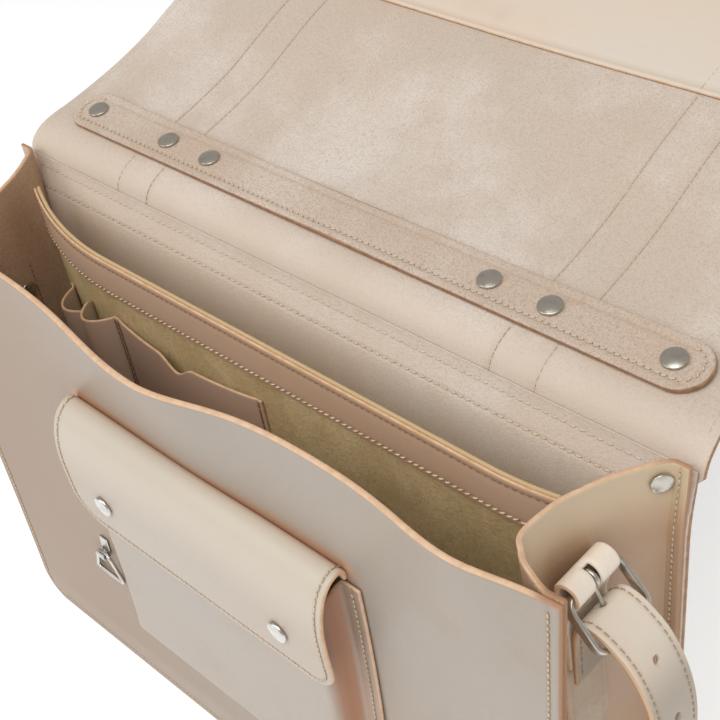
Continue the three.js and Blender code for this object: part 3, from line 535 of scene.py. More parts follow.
paleHide = {
    "grain": (220, 209, 195), "grainWarm": (223, 206, 188), "grainDeep": (206, 184, 161), "stain": 0.3,
    "flesh": (204, 184, 164), "fleshPale": (212, 195, 177), "fleshWarm": (202, 178, 154),
    "fleshDeep": (176, 150, 126), "fleck": 0.5, "nap": 1.2,
    "seam": (184, 156, 128), "seamDark": 0.3, "edge": (226, 192, 160), "edgeDeep": (212, 174, 138),
    "gloss": 0.42, "coat": 0.14, "sheen": 0.03, "sheenTint": (255, 242, 230),
    "cloudScale": 9, "patchScale": 24,
}
roughHide = {  # its flesh side is the one that shows
    **paleHide, "gloss": 0.5, "coat": 0.08, "sheen": 0.08, "nap": 1.7, "fleck": 0.7,
    "edge": (184, 146, 116), "edgeDeep": (160, 122, 92), "cloudScale": 6, "patchScale": 11,
}
bandHide = {
    **paleHide, "grain": (206, 177, 152), "grainWarm": (206, 173, 145), "grainDeep": (188, 152, 123),
    "seam": (156, 122, 96), "seamDark": 0.5, "edge": (228, 188, 148), "edgeDeep": (208, 162, 120),
    "stain": 0.4, "gloss": 0.46, "coat": 0.08, "cloudScale": 11, "patchScale": 30,
}
paleLeather = leatherFinish("pale_leather", paleHide)
# painted shade: the front is the pocket flap's hide made darker, darker still towards the left, with browner
# upright edges; a painted warm reflection lies along the pocket flap's fold
frontLeather = leatherFinish(
    "front_leather_painted_shading", paleHide, grain=(165, 158, 150), grainWarm=(166, 152, 138), grainDeep=(154, 134, 116),
    drift=(157, 136, 117), drawn=(212, 152, 106), seam=(146, 122, 98), sideEdge=(176, 134, 102), cloudScale=4)
# painted shade: the pocket body is the pocket flap's hide made darker, and its right wall darker and browner
# still
pocketLeather = leatherFinish(
    "pocket_leather_painted_shade", paleHide, grain=(173, 164, 154), grainWarm=(175, 160, 145), grainDeep=(160, 141, 123),
    drawn=(164, 106, 64), seam=(150, 126, 102), cloudScale=5)
# painted highlight: the pocket flap is paler towards its bend at the top; a painted warm reflection lies at
# its fold
pocketFlapLeather = leatherFinish(
    "pocket_flap_leather", paleHide,
    grain=(184, 173, 160), grainWarm=(187, 170, 153), grainDeep=(174, 152, 131),
    crown=(201, 191, 176), crownRise=[0.176, 0.213], drawn=(212, 152, 106), seam=(156, 132, 108),
    cloudScale=5)
# painted light: the gussets are paler towards the top, and painted shade makes their upright edges browner
gussetLeather = leatherFinish(
    "gusset_leather", paleHide, grain=(188, 159, 131), grainWarm=(186, 149, 114), grainDeep=(168, 130, 96),
    crown=(208, 187, 157), crownRise=[0.24, 0.274], flesh=(203, 171, 143), fleshPale=(214, 186, 158),
    fleshWarm=(198, 164, 134), fleshDeep=(164, 130, 100), fleck=0.9, nap=2.0, seam=(150, 120, 92),
    sideEdge=(176, 134, 102))
# painted light: the flap is lighter at its root, towards the back's tone
flapLeather = leatherFinish(
    "flap_leather", roughHide, flesh=(207, 193, 178), fleshPale=(223, 214, 205), fleshWarm=(208, 188, 171),
    fleshDeep=(183, 162, 143), drawn=(220, 204, 189), seam=(190, 170, 150))
# painted light: the back's inside is the flap's hide made lighter
backLeather = leatherFinish(
    "back_leather_painted_light", roughHide, flesh=(238, 224, 210), fleshPale=(244, 236, 227), fleshWarm=(238, 219, 202),
    fleshDeep=(219, 198, 179), seam=(218, 200, 182))
stripLeather = leatherFinish(
    "strip_leather", roughHide, flesh=(206, 188, 171), fleshPale=(218, 204, 190), fleshWarm=(206, 183, 162),
    fleshDeep=(176, 152, 131), fleck=0.95, nap=2.2, patchScale=14, seam=(186, 164, 142),
    edge=(176, 136, 104), edgeDeep=(150, 112, 82))
# painted light: the strap is lighter than the pale hide; painted shade darkens it where it hangs at the sides
strapLeather = leatherFinish(
    "strap_leather_painted_shading", paleHide, grain=(232, 222, 208), grainWarm=(234, 218, 199), grainDeep=(220, 198, 174),
    drawn=(175, 163, 148), edge=(214, 176, 140))
tabLeather = leatherFinish(
    "tab_leather", paleHide, grain=(244, 234, 220), grainWarm=(244, 229, 211), grainDeep=(230, 208, 184))
bandLeather = leatherFinish("band_leather", bandHide)
sleeveLeather = leatherFinish(
    "sleeve_leather", bandHide, grain=(206, 181, 162), grainWarm=(204, 175, 151), grainDeep=(182, 150, 124))


def oliveFinish(**look):
    look = tones(look)
    finish = Finish("olive_suede")
    cloud = finish.noise(26, 5, 0.65)
    nap = finish.noise(560, 4, 0.75)
    brushed = finish.noise(60, 4, 0.6, (1.0, 1.0, 0.35))
    colour = finish.mix(finish.between(cloud, 0.35, 0.65), look["deep"], look["pale"])
    colour = finish.mix(finish.between(brushed, 0.48, 0.7) * 0.55, colour, look["dust"])
    colour = finish.mix(finish.between(nap, 0.46, 0.72) * 0.62, colour, look["shade"])
    colour = finish.mix(finish.between(finish.attribute("rim"), 0.3, 0.8), colour, look["edge"])
    finish.shade(
        Base_Color=colour,
        Roughness=0.88 + nap * 0.1,
        Specular_IOR_Level=0.2,
        Sheen_Weight=0.25,
        Sheen_Roughness=0.45,
        Sheen_Tint=look["pale"],
        Normal=finish.bump(nap + brushed * 0.5, 0.001, 0.7),
    )
    return finish.material


oliveSuede = oliveFinish(deep=(204, 181, 134), pale=(226, 205, 159), dust=(232, 213, 169),
                         shade=(172, 148, 103), edge=(204, 178, 138))


def nickelFinish(name, metal, dull, gloss):
    finish = Finish(name)
    scuff = finish.noise(240, 5, 0.65)
    fine = finish.noise(1700, 2, 0.6)
    finish.shade(
        Base_Color=finish.mix(finish.between(scuff, 0.45, 0.72), tone(*metal), tone(*dull)),
        Metallic=1.0,
        Roughness=gloss + finish.between(scuff, 0.4, 0.75) * 0.14 + fine * 0.05,
        Normal=finish.bump(fine, 0.00008, 0.25),
    )
    return finish.material


nickel = nickelFinish("nickel", (198, 193, 184), (174, 168, 157), 0.19)
brightNickel = nickelFinish("bright_nickel", (208, 206, 202), (188, 185, 180), 0.17)
satinNickel = nickelFinish("satin_nickel", (200, 196, 188), (178, 173, 164), 0.27)


# painted shade: the thread turns to the hole tone towards its ends, where it sinks into the stitch holes
def threadFinish(name, pale, deep, hole):
    finish = Finish(name)
    ply = finish.noise(2600, 2, 0.6)
    dust = finish.noise(90, 3, 0.6)
    colour = finish.mix(finish.between(dust, 0.35, 0.7), tone(*pale), tone(*deep))
    colour = finish.mix(finish.between(finish.attribute("dip"), 0.15, 0.75), colour, tone(*hole))
    finish.shade(
        Base_Color=colour,
        Roughness=0.7 + ply * 0.2,
        Specular_IOR_Level=0.3,
        Normal=finish.bump(ply, 0.0002, 0.5),
    )
    return finish.material


paleThread = threadFinish("pale_thread", (212, 197, 172), (196, 180, 152), (158, 134, 108))
bandThread = threadFinish("band_thread", (236, 216, 192), (226, 203, 176), (200, 173, 146))
hingeThread = threadFinish("hinge_thread", (214, 199, 180), (202, 185, 164), (150, 127, 104))
flapThread = threadFinish("flap_thread", (210, 194, 166), (198, 180, 150), (178, 156, 130))
fineThread = threadFinish("fine_thread", (192, 174, 142), (176, 156, 122), (150, 126, 98))
brownThread = threadFinish("brown_thread", (150, 120, 92), (128, 98, 72), (78, 54, 38))
print("materials:", len(bpy.data.materials))


# body
body = {
    "topWidth": 410, "baseWidth": 394, "height": 278, "depth": 92, "frontLean": 10, "backLean": 6.5,
    "panel": 3, "gusset": 2.5, "lining": 2, "thin": 1.4, "strap": 2.6, "gap": 0.3, "facetRoom": 0.3,
    "corner": 18, "backHeight": 272, "foot": 0.3, "topLean": 3, "leanFoot": 236, "leanRun": 44,
}


def bodyHalf(z):
    straight = lerp(body["baseWidth"], body["topWidth"], z / body["height"]) / 2
    drop = np.clip(body["corner"] - np.maximum(0, z), 0, body["corner"])
    return np.where(z >= body["corner"], straight,
                    straight - body["corner"] + np.sqrt(body["corner"] ** 2 - drop ** 2))


front = {
    "waves": [(-3, 66, 42, 14), (160, 34, 26, 6.5)],  # at, left width, right width, out
    "waveFoot": 190, "dent": 6.5, "dentFoot": 20, "gridStep": 3.2, "gridHalf": 200,
    "seamIn": 4.6, "seamLines": (3.8, 4.6, 5.4, 6.6, 8.6), "footLines": (10.5, 13, 15.5),
    "crease": (4, 90, 216, 5.5), "creaseReflection": 0.7,  # painted warm reflection at the pocket flap's fold: middle, half, height, reach, and its strength
}


def frontAt(x, z):
    corner = -body["depth"] / 2 + body["frontLean"] * z / body["height"]
    rise = np.clip((z - front["waveFoot"]) / (body["height"] - front["waveFoot"]), 0, 1) ** 1.6
    wave = 0
    for at, leftWidth, rightWidth, out in front["waves"]:
        wave = wave + out * np.exp(-((x - at) / np.where(x < at, leftWidth, rightWidth)) ** 2)
    tall = np.clip((z - front["dentFoot"]) / (body["height"] - front["dentFoot"]), 0, 1)
    wide = np.maximum(0, 1 - (x / (body["topWidth"] / 2)) ** 4)
    dent = front["dent"] * wide * np.sin(math.pi * tall) ** 0.8
    return point(x, corner - wave * rise + dent, z)


# the open flap draws the back's top edge backwards a little
def backAt(x, z):
    lean = body["topLean"] * smooth((z - body["leanFoot"]) / body["leanRun"])
    return point(x, body["depth"] / 2 - body["backLean"] * z / body["height"] + lean, z)


def panelOver(at):
    return lambda share, z: at(share * bodyHalf(z), z)


# outline of a panel's sewn line, inset from its sides and foot
def panelSeam(inset, top):
    z = np.linspace(top, body["corner"], 90)
    half = lerp(body["baseWidth"], body["topWidth"], z / body["height"]) / 2
    down = np.stack([-(half - inset), z], -1)
    hub = lerp(body["baseWidth"], body["topWidth"], body["corner"] / body["height"]) / 2 - body["corner"]
    turn = np.linspace(math.pi, 1.5 * math.pi, 14)
    bend = np.stack([-hub + (body["corner"] - inset) * np.cos(turn),
                     body["corner"] + (body["corner"] - inset) * np.sin(turn)], -1)
    left = np.vstack([down, bend])
    return np.vstack([left, (left * (-1, 1))[::-1]])


def panelSeamGap(inset):
    return lambda share, z: np.abs(np.minimum(bodyHalf(z) * (1 - np.abs(share)), z) - inset)


# painted reflection: a warm glow on the front panel along the pocket flap's fold
def creaseReflection(share, z):
    middle, half, height, reach = front["crease"]
    past = np.maximum(np.abs(share * bodyHalf(z) - middle) - half, 0)
    return front["creaseReflection"] * np.exp(-(np.hypot(past, z - height) / reach) ** 2)


makePart("front_panel", leather(
    panelOver(frontAt),
    gridLines(-1, 1, front["gridStep"], front["gridHalf"],
              marks=inFromEdges(front["gridHalf"], *front["seamLines"]) / front["gridHalf"]),
    gridLines(body["foot"], body["height"], front["gridStep"],
              marks=[*front["seamLines"], *front["footLines"]]),
    body["panel"], seam=panelSeamGap(front["seamIn"]), drawn=creaseReflection), frontLeather)

# the back is sewn to the flap in two rows, and its top is pared to a feather edge from inside
backTop = {
    "gridStep": 4.5, "hingeRows": (253.5, 265.5), "topLines": (268, 269, 270, 271),
    "pareFoot": 246, "pareRun": 26, "pressed": 0.35, "stitchIn": 0.3, "rowHalf": 199, "pitch": 4.2,
}


def backPared(share, z):
    return smooth((z - backTop["pareFoot"]) / backTop["pareRun"])


# the pared face, which the stitches lie in
def backFace(x, z):
    rise = body["panel"] / 2 - (body["panel"] - feather) * backPared(x, z) - backTop["stitchIn"]
    return backAt(x, z) + rise[..., None] * normalOf(backAt, x, z)


makePart("back_panel", leather(
    panelOver(backAt), gridLines(-1, 1, backTop["gridStep"], front["gridHalf"]),
    gridLines(body["foot"], body["backHeight"], backTop["gridStep"],
              marks=[*around(backTop["hingeRows"], -1.6, -0.8, 0, 0.8, 1.6), *backTop["topLines"]]),
    body["panel"], flesh="top", pressed=backTop["pressed"], skive=backPared,
    seam=lambda share, z: nearest(z, backTop["hingeRows"])), backLeather)

# base: a sheet folded up inside both panels
base = {"fold": 14, "halfX": 184, "foldHalfX": 164, "bend": 3.0, "narrowFrom": 2.2, "narrowRun": 2.2}
baseHalfY = body["depth"] / 2 - body["panel"] / 2 - body["gap"] - 0.6


def basePath():
    y, top, r = baseHalfY - body["panel"] / 2, base["fold"], base["bend"]
    low = body["panel"] / 2
    turn = np.linspace(math.pi, 1.5 * math.pi, 8)
    left = np.vstack([[(-y, top), (-y, (top + low + r) / 2)],
                      np.stack([-y + r + r * np.cos(turn), low + r + r * np.sin(turn)], -1)])
    flat = np.stack([np.linspace(-y + r, y - r, 20)[1:-1], np.full(18, low)], -1)
    return np.vstack([left, flat, (left * (-1, 1))[::-1]])


baseCurve = RoundCurve(basePath(), 12)


def baseOver(share, run):
    spot = baseCurve.atRun(run)
    rise = smooth((spot[..., 1] - base["narrowFrom"]) / base["narrowRun"])
    half = lerp(base["halfX"], base["foldHalfX"], rise)
    return point(share * half, spot[..., 0], spot[..., 1])


makePart("base", leather(
    baseOver, gridLines(-1, 1, 6, 180), gridLines(0, baseCurve.length, 3), body["panel"], flesh="top"),
    paleLeather)
print("panels and base made")

# gussets: rows of depth, inset at the mouth, inset at the foot
gusset = {
    "rows": [(0, 0.6, 0.6), (0, 8, 8), (0.05, 16, 11.5), (0.15, 25.5, 13.2), (0.29, 30.7, 13.5),
             (0.44, 29.7, 13.5), (0.61, 25.6, 13.5), (0.76, 20.3, 13.5), (0.89, 14.2, 13.2),
             (0.96, 10.5, 11.5), (1, 7, 8), (1, 0.6, 0.6)],
    "bowFoot": 60, "foot": 4.6, "flangeSeam": 0.05, "gridGirth": 150, "seamGirth": 80, "partStep": 0.004,
    "capGap": 0.45,
    "cornerCap": (0.81, 269, 1, 4.6), "tabCap": (0.47, 216, -1, 5.2),  # place across, height, way out, radius
}
gussetCurve = RoundCurve(gusset["rows"])


def gussetOn(way):
    def at(part, z):
        row = gussetCurve.atShare(part)
        bow = np.clip((z - gusset["bowFoot"]) / (body["height"] - gusset["bowFoot"]), 0, 1) ** 1.2
        x = bodyHalf(z) - lerp(row[..., 2], row[..., 1], bow)
        seat = body["panel"] / 2 + body["gap"] + body["gusset"] / 2
        near = frontAt(way * x, z)[..., 1] + seat
        far = backAt(x, z)[..., 1] - seat
        return point(x, lerp(near, far, np.clip(row[..., 0], 0, 1)), z)
    return at


gussetAt = gussetOn(1)
flangeSeams = (gusset["flangeSeam"], 1 - gusset["flangeSeam"])
gussetParts = gridLines(0, 1, 1.6, gusset["gridGirth"], marks=around(flangeSeams, -0.012, 0, 0.012))
gussetRows = gridLines(gusset["foot"], body["height"], 4)
for way, word in ((1, "right"), (-1, "left")):
    made = leather(
        gussetOn(way), gussetParts, gussetRows, body["gusset"], stepU=gusset["partStep"], pressed=0.25,
        seam=lambda part, z: gusset["seamGirth"] * nearest(part, flangeSeams))
    makePart("gusset_" + word, made if way > 0 else mirrored(made), gussetLeather)
print("gussets made")

# flap
flap = {
    "rows": [(43.8, 233.92), (44.7, 256), (45.4, 268), (47.8, 275), (54, 279.9), (62, 282.2), (72, 283.4),
             (90, 286.2), (110, 290.2), (131, 296), (150, 303.4), (170, 311), (192, 317.6), (240, 329),
             (290, 337), (350, 342)],
    "width": 405, "length": 300, "corner": 28, "edgeLift": 2, "liftStart": 45, "liftRun": 40,
    "foldRun": 40, "rootSpread": 4, "spreadRun": 45, "rootTuck": 6, "tuckEnd": 35, "tuckRun": 8,
    "rootTone": 0.85, "toneRun": 24, "gridHalf": 202, "gridStep": 3.2,
    "ripple": 0.7, "rippleX": 43, "rippleRun": 37, "rippleSlant": 150, "rippleStart": 110, "rippleRise": 60,
    "stripLength": 382, "stripWidth": 25, "stripY": 74, "stripSeam": 4.2, "facingY": 193.5, "facingIn": 3,
    "strapX": 119.7, "strapWidth": 29, "strapStart": 2, "tongue": 52, "strapTip": 12, "strapSeamIn": 3.2,
    "strapSeams": (-131, -108.4, 108.4, 131), "edgeSeam": 4.2, "seamStart": 33,
}
flapCurve = RoundCurve(flap["rows"])


def flapAt(x, run):
    spot = flapCurve.atRun(run)
    rise = smooth((run - flap["liftStart"]) / flap["liftRun"])
    lift = flap["edgeLift"] * (x / (flap["width"] / 2)) ** 4 * rise
    wave = np.sin(x / flap["rippleX"] + 0.6) * np.sin(run / flap["rippleRun"] + x / flap["rippleSlant"])
    ripple = flap["ripple"] * wave * smooth((run - flap["rippleStart"]) / flap["rippleRise"])
    return point(x, spot[..., 0], spot[..., 1] + lift + ripple)


# half width of the flap, which is tucked in behind the back and spreads a little where it folds over the body
def flapHalfAt(run):
    spread = flap["rootSpread"] * (1 - smooth((run - flap["foldRun"]) / flap["spreadRun"]))
    return flap["width"] / 2 + spread - flap["rootTuck"] * smooth((flap["tuckEnd"] - run) / flap["tuckRun"])


def runAtY(y):
    past = flapCurve.run > flap["foldRun"]
    return float(np.interp(y, flapCurve.points[past, 0], flapCurve.run[past]))


def roundedHalf(half, radius, left):
    drop = np.clip(radius - np.maximum(0, left), 0, radius)
    return np.where(left >= radius, half, half - radius + np.sqrt(radius ** 2 - drop ** 2))


def cornerLines(end, radius):
    return end - radius * (1 - np.cos(np.linspace(0, math.pi / 2, 12)))


flapLines = gridLines(-1, 1, 3.6, flap["gridHalf"], marks=around(
    [x / (flap["width"] / 2) for x in flap["strapSeams"]],
    *(offset / flap["gridHalf"] for offset in (-1.4, -0.7, 0, 0.7, 1.4))))
flapRows = gridLines(0, flap["length"], flap["gridStep"], marks=cornerLines(flap["length"], flap["corner"]))
stripRun, facingRun = runAtY(flap["stripY"]), runAtY(flap["facingY"])
onFlap = body["panel"] / 2 + body["gap"]


def flapOver(share, run):
    half = roundedHalf(flapHalfAt(run), flap["corner"], flap["length"] - run)
    return flapAt(share * half, run)


def flapSeamGap(share, run):
    return nearest(share * flapHalfAt(run), flap["strapSeams"]) + unsewn * (run < flap["seamStart"] - 1)


# painted light: the root is lightened towards the back's tone, fading out past the fold
def flapRootLight(share, run):
    return flap["rootTone"] * (1 - smooth((run - flap["foldRun"]) / flap["toneRun"])) + 0 * share


makePart("flap", leather(
    flapOver, flapLines, flapRows, body["panel"], flesh="top", seam=flapSeamGap, drawn=flapRootLight,
    stepU=0.002, stepV=0.5), flapLeather)

stripHalf, stripRound = flap["stripLength"] / 2, flap["stripWidth"] / 2


def stripHalfAt(run):
    return roundedHalf(stripHalf, stripRound, stripRound - np.abs(run - stripRun))


def stripOver(share, run):
    return flapAt(share * stripHalfAt(run), run)


def stripSeamGap(share, run):
    fromSide = stripRound - np.abs(run - stripRun)
    return np.abs(np.minimum(fromSide, stripHalfAt(run) * (1 - np.abs(share))) - flap["stripSeam"])


stripRows = stripRun + stripRound * np.unique(np.concatenate([
    -np.cos(np.linspace(0, math.pi, 25)), [-0.7, -0.664, -0.63, 0.63, 0.664, 0.7]]))
makePart("flap_strip", leather(
    lifted(stripOver, onFlap + body["panel"] / 2, 0.002, 0.4),
    gridLines(-1, 1, 3, stripHalf, marks=inFromEdges(stripHalf, 3, 3.6, 4.2, 4.8, 6, 9) / stripHalf),
    stripRows, body["panel"], flesh="top", seam=stripSeamGap, rimWidth=2.2, pressed=0.4,
    stepU=0.002, stepV=0.4), stripLeather)

facingEnd, facingSeam = flap["length"] - flap["facingIn"], facingRun + 3


def facingOver(share, run):
    half = flap["width"] / 2 - flap["facingIn"]
    return flapAt(share * roundedHalf(half, flap["corner"], facingEnd - run), run)


makePart("flap_facing", leather(
    lifted(facingOver, onFlap + body["thin"] / 2, 0.002, 0.5), flapLines,
    gridLines(facingRun, facingEnd, flap["gridStep"],
              marks=[*cornerLines(facingEnd, flap["corner"]), *around([facingSeam], -0.4, 0, 0.4)]),
    body["thin"], seam=lambda share, run: np.abs(run - facingSeam), pressed=0.25,
    stepU=0.002, stepV=0.5), paleLeather)

strapEnd, flapStrapHalf = flap["length"] + flap["tongue"], flap["strapWidth"] / 2


def flapStrapGap(share, run):
    return np.abs(flapStrapHalf * (1 - np.abs(share)) - flap["strapSeamIn"]) + unsewn * (run > flap["length"])


for centre, word in ((-flap["strapX"], "left"), (flap["strapX"], "right")):
    def flapStrapOver(share, run, centre=centre):
        return flapAt(centre + share * roundedHalf(flapStrapHalf, flap["strapTip"], strapEnd - run), run)
    makePart("flap_strap_" + word, leather(
        lifted(flapStrapOver, -(onFlap + body["strap"] / 2), 0.004, 0.5), gridLines(-1, 1, 3, flapStrapHalf),
        gridLines(flap["strapStart"], strapEnd, 3.4, marks=cornerLines(strapEnd, flap["strapTip"])),
        body["strap"], flesh="top", seam=flapStrapGap, stepU=0.004, stepV=0.5), paleLeather)
print("flap made")

# handle under the flap
handle = {"width": 25, "reach": 133, "archHalf": 78, "arch": 36, "seamIn": 3.2}
handleSeat = onFlap + body["strap"] + body["gap"] + body["panel"] / 2


def handleAt(x, across):
    arch = handle["arch"] * np.maximum(0, 1 - (x / handle["archHalf"]) ** 2) ** 2
    run = stripRun + across
    return flapAt(x, run) - (handleSeat + arch)[..., None] * normalOf(flapAt, x, run)


handleHalf = handle["width"] / 2
makePart("handle", leather(
    handleAt, gridLines(-handle["reach"], handle["reach"], 3), gridLines(-handleHalf, handleHalf, 2.4),
    body["panel"], flesh="top", seam=lambda x, across: np.abs(handleHalf - np.abs(across) - handle["seamIn"]),
    stepU=0.5, stepV=0.5), paleLeather)

# rivets: low domed caps with a rolled edge
rivet = {"x": (-175.3, -118.3, -87.3, 87.3, 118.3, 175.3), "radius": 5.4, "height": 2.4, "capHeight": 2.2}


def capProfile(radius, height, crown=0.4):
    shoulder = 0.93 * radius
    rim = [(0.9, 0), (0.965, 0.1), (0.995, 0.24), (1, 0.38), (0.985, 0.52), (0.96, (1 - crown) * 0.97)]
    dome = [(shoulder * s, height * (1 - crown * s ** 2)) for s in np.linspace(1, 0, 12)[:-1]]
    return np.array([*((radius * r, height * h) for r, h in rim), *dome, (0.01, height)])


# caps along the strip, on the flap's inside (out > 0) or under its outside
def rivetCaps(places, out):
    profile = capProfile(rivet["radius"], rivet["height"])
    caps = []
    for x in places:
        spot = np.array(x), np.array(stripRun)
        up = normalOf(flapAt, *spot)
        caps.append(turned(profile, flapAt(*spot) + out * up, np.sign(out) * up))
    return joined(caps)


stripSeat = onFlap + body["panel"] + 0.05
makePiece("strip_rivets", rivetCaps(rivet["x"], stripSeat), nickel,
          ["strip_rivet_%d" % i for i in range(1, 7)])
handleOut = handleSeat + body["panel"] / 2 + body["gap"]
makePiece("handle_rivets", rivetCaps(rivet["x"][1:5], -handleOut), nickel,
          ["handle_rivet_%d" % i for i in range(1, 5)])
print("handle and rivets made")

# divider with its band and the inner pocket
divider = {
    "y": 5, "top": 270, "left": -174, "leftBend": -92, "leftBack": 20,
    "right": 171, "rightBend": 140, "rightBack": 3, "foot": 3.3,
    "band": 22, "bandSeams": (2.6, 3.2),  # in from the band's foot and top
}


def dividerAt(x, z):
    left = np.clip((divider["leftBend"] - x) / (divider["leftBend"] - divider["left"]), 0, 1)
    right = np.clip((x - divider["rightBend"]) / (divider["right"] - divider["rightBend"]), 0, 1)
    return point(x, divider["y"] + divider["leftBack"] * left ** 2 + divider["rightBack"] * right ** 2, z)


onDivider = body["lining"] / 2 + body["gap"]
dividerLines = gridLines(divider["left"], divider["right"], 4)
makePart("divider", leather(
    dividerAt, dividerLines, gridLines(divider["foot"], divider["top"], 4), body["lining"],
    flesh="both", stepU=0.5), oliveSuede)
bandFoot = divider["top"] - divider["band"]
bandAt = lifted(dividerAt, onDivider + body["thin"] / 2)
bandSeams = (bandFoot + divider["bandSeams"][0], divider["top"] - divider["bandSeams"][1])
makePart("divider_band", leather(
    bandAt, dividerLines, gridLines(bandFoot, divider["top"], 2.4, marks=around(bandSeams, -0.7, 0, 0.7)),
    body["thin"], seam=lambda x, z: nearest(z, bandSeams), pressed=0.2, stepU=0.5), bandLeather)

innerPocket = {
    "left": -150, "right": 9, "foot": 132, "top": 233, "seams": (-148, -121, -97.2, -94.8, 7),
    "stretches": [(-146, -122, 11), (-120, -98, 11), (-94, 5, 5)],  # from, to, out
    "notch": (-46, 13, 7),  # at, half, drop
    "sleeve": (-121, 8, 2),  # the lower outer sleeve's end, drop, half the step
}


def innerPocketAt(x, share):
    out = np.zeros(np.broadcast(x, share).shape)
    for start, end, deep in innerPocket["stretches"]:
        place = (x - start) / (end - start)
        bulge = deep * np.sin(math.pi * np.clip(place, 0, 1)) ** 0.8
        out = out + np.where((place > 0) & (place < 1), bulge, 0)
    at, half, drop = innerPocket["notch"]
    top = innerPocket["top"] - drop * smooth(1 - np.abs(x - at) / half)
    at, drop, half = innerPocket["sleeve"]
    top = top - drop * smooth((at + half - x) / (2 * half))
    seat = onDivider + body["thin"] / 2 + out * smooth(share * 2)
    z = lerp(innerPocket["foot"], top, share)
    return dividerAt(x, z) + seat[..., None] * normalOf(dividerAt, x, z)


makePart("inner_pocket", leather(
    innerPocketAt,
    gridLines(innerPocket["left"], innerPocket["right"], 1.6,
              marks=around(innerPocket["seams"], -0.7, 0, 0.7)),
    gridLines(0, 1, 2.6, 100), body["thin"], rimWidth=0.9, pressed=0.25,
    seam=lambda x, share: nearest(x, innerPocket["seams"]), stepU=0.3, stepV=0.005), sleeveLeather)
print("inside made")

# front pocket
pocket = {
    "x": 4, "half": 98, "flange": 10, "bottom": 42, "top": 192, "flangeTop": 209, "mouthFoot": 162,
    "footDeep": 8.5, "topDeep": 14.4, "ramp": 9, "flapHalf": 91, "flapCorner": 18,
    "snapSpread": 61, "snapZ": 174, "snapRadius": 5.6, "snapCrown": 0.22,
    "wallEdge": 0.3, "wallRise": 3, "wallFade": (0.55, 0.45),  # painted shade at the flange, its rise and its end
    "flapRows": [(1.5, 212), (1.7, 215), (3.7, 217.6), (8, 217.2), (13, 213), (17, 204), (18.9, 193),
                 (19.2, 182), (18.9, 168), (17.6, 149)],  # out from the panel, height
    "rootRun": 20, "foldRun": 30, "gridStep": 1.9, "seamIn": 4.2, "seamLines": (2.8, 3.5, 4.2, 4.9, 5.8),
    "flapSeamIn": 3.4, "flapSeamLines": (2.2, 2.8, 3.4, 4, 4.8), "flapSideLine": 6.5,
}


def pocketAt(x, row):
    sideEdge = pocket["half"] - pocket["flange"] - np.abs(x)
    rim = lerp(pocket["flangeTop"], pocket["top"], smooth(sideEdge / pocket["ramp"]))
    above = (row - pocket["mouthFoot"]) / (pocket["top"] - pocket["mouthFoot"])
    z = np.where(row > pocket["mouthFoot"], lerp(pocket["mouthFoot"], rim, above), row)
    edge = np.minimum(sideEdge, z - pocket["bottom"] - pocket["flange"])
    rise = (z - pocket["bottom"]) / (pocket["top"] - pocket["bottom"])
    deep = lerp(pocket["footDeep"], pocket["topDeep"], rise)
    out = body["panel"] / 2 + body["gap"] + body["lining"] / 2 + deep * smooth(edge / pocket["ramp"])
    there = pocket["x"] + x
    return frontAt(there, z) + out[..., None] * normalOf(frontAt, there, z)


# painted shade darkens the right wall, between the flat front and the sewn flange, most
def pocketWall(x, row):
    share = np.clip((pocket["half"] - pocket["flange"] - x) / pocket["ramp"], 0, 1) + 0 * row
    fadeStart, fadeRun = pocket["wallFade"]
    wallShade = lerp(pocket["wallEdge"], 1, smooth(share * pocket["wallRise"]))
    return wallShade * (1 - smooth((share - fadeStart) / fadeRun))


def pocketSeamGap(x, row):
    return np.abs(np.minimum(pocket["half"] - np.abs(x), row - pocket["bottom"]) - pocket["seamIn"])


makePart("pocket_body", leather(
    pocketAt,
    gridLines(-pocket["half"], pocket["half"], pocket["gridStep"],
              marks=inFromEdges(pocket["half"], *pocket["seamLines"])),
    gridLines(pocket["bottom"], pocket["top"], pocket["gridStep"],
              marks=[pocket["bottom"] + depth for depth in pocket["seamLines"]]),
    body["lining"], seam=pocketSeamGap, drawn=pocketWall, stepU=0.3, stepV=0.3), pocketLeather)

pocketFlapCurve = RoundCurve([(-out, z) for out, z in pocket["flapRows"]])
pocketEnd = pocketFlapCurve.length


def pocketFlapAt(x, run):
    spot = pocketFlapCurve.atRun(run)
    there = pocket["x"] + x
    seat = lerp(pocket["flapRows"][0][1], pocket["snapZ"], smooth(run / pocket["rootRun"]))
    panel = frontAt(there, seat)[..., 1] - body["panel"] / 2
    return point(there, panel + spot[..., 0], spot[..., 1])


def pocketFlapHalfAt(run):
    return roundedHalf(pocket["flapHalf"], pocket["flapCorner"], pocketEnd - run)


def pocketFlapOver(share, run):
    return pocketFlapAt(-share * pocketFlapHalfAt(run), run)


def pocketFlapSeamGap(share, run):
    fromSide = pocketFlapHalfAt(run) * (1 - np.abs(share))
    return np.abs(np.minimum(pocketEnd - run, fromSide) - pocket["flapSeamIn"])


# painted reflection: the same warm glow on the pocket flap's root
def pocketFlapFoldReflection(share, run):
    return front["creaseReflection"] * np.exp(-(run / front["crease"][3]) ** 2) + 0 * share


pocketFlapSides = inFromEdges(pocket["flapHalf"], *pocket["flapSeamLines"], pocket["flapSideLine"])
makePart("pocket_flap", leather(
    pocketFlapOver, gridLines(-1, 1, 2.4, pocket["flapHalf"], marks=pocketFlapSides / pocket["flapHalf"]),
    gridLines(0, pocketEnd, pocket["gridStep"], marks=[
        *cornerLines(pocketEnd, pocket["flapCorner"]),
        *(pocketEnd - depth for depth in pocket["flapSeamLines"])]),
    body["gusset"], seam=pocketFlapSeamGap, drawn=pocketFlapFoldReflection, both=True, pressed=0.22,
    stepU=0.004, stepV=0.5), pocketFlapLeather)

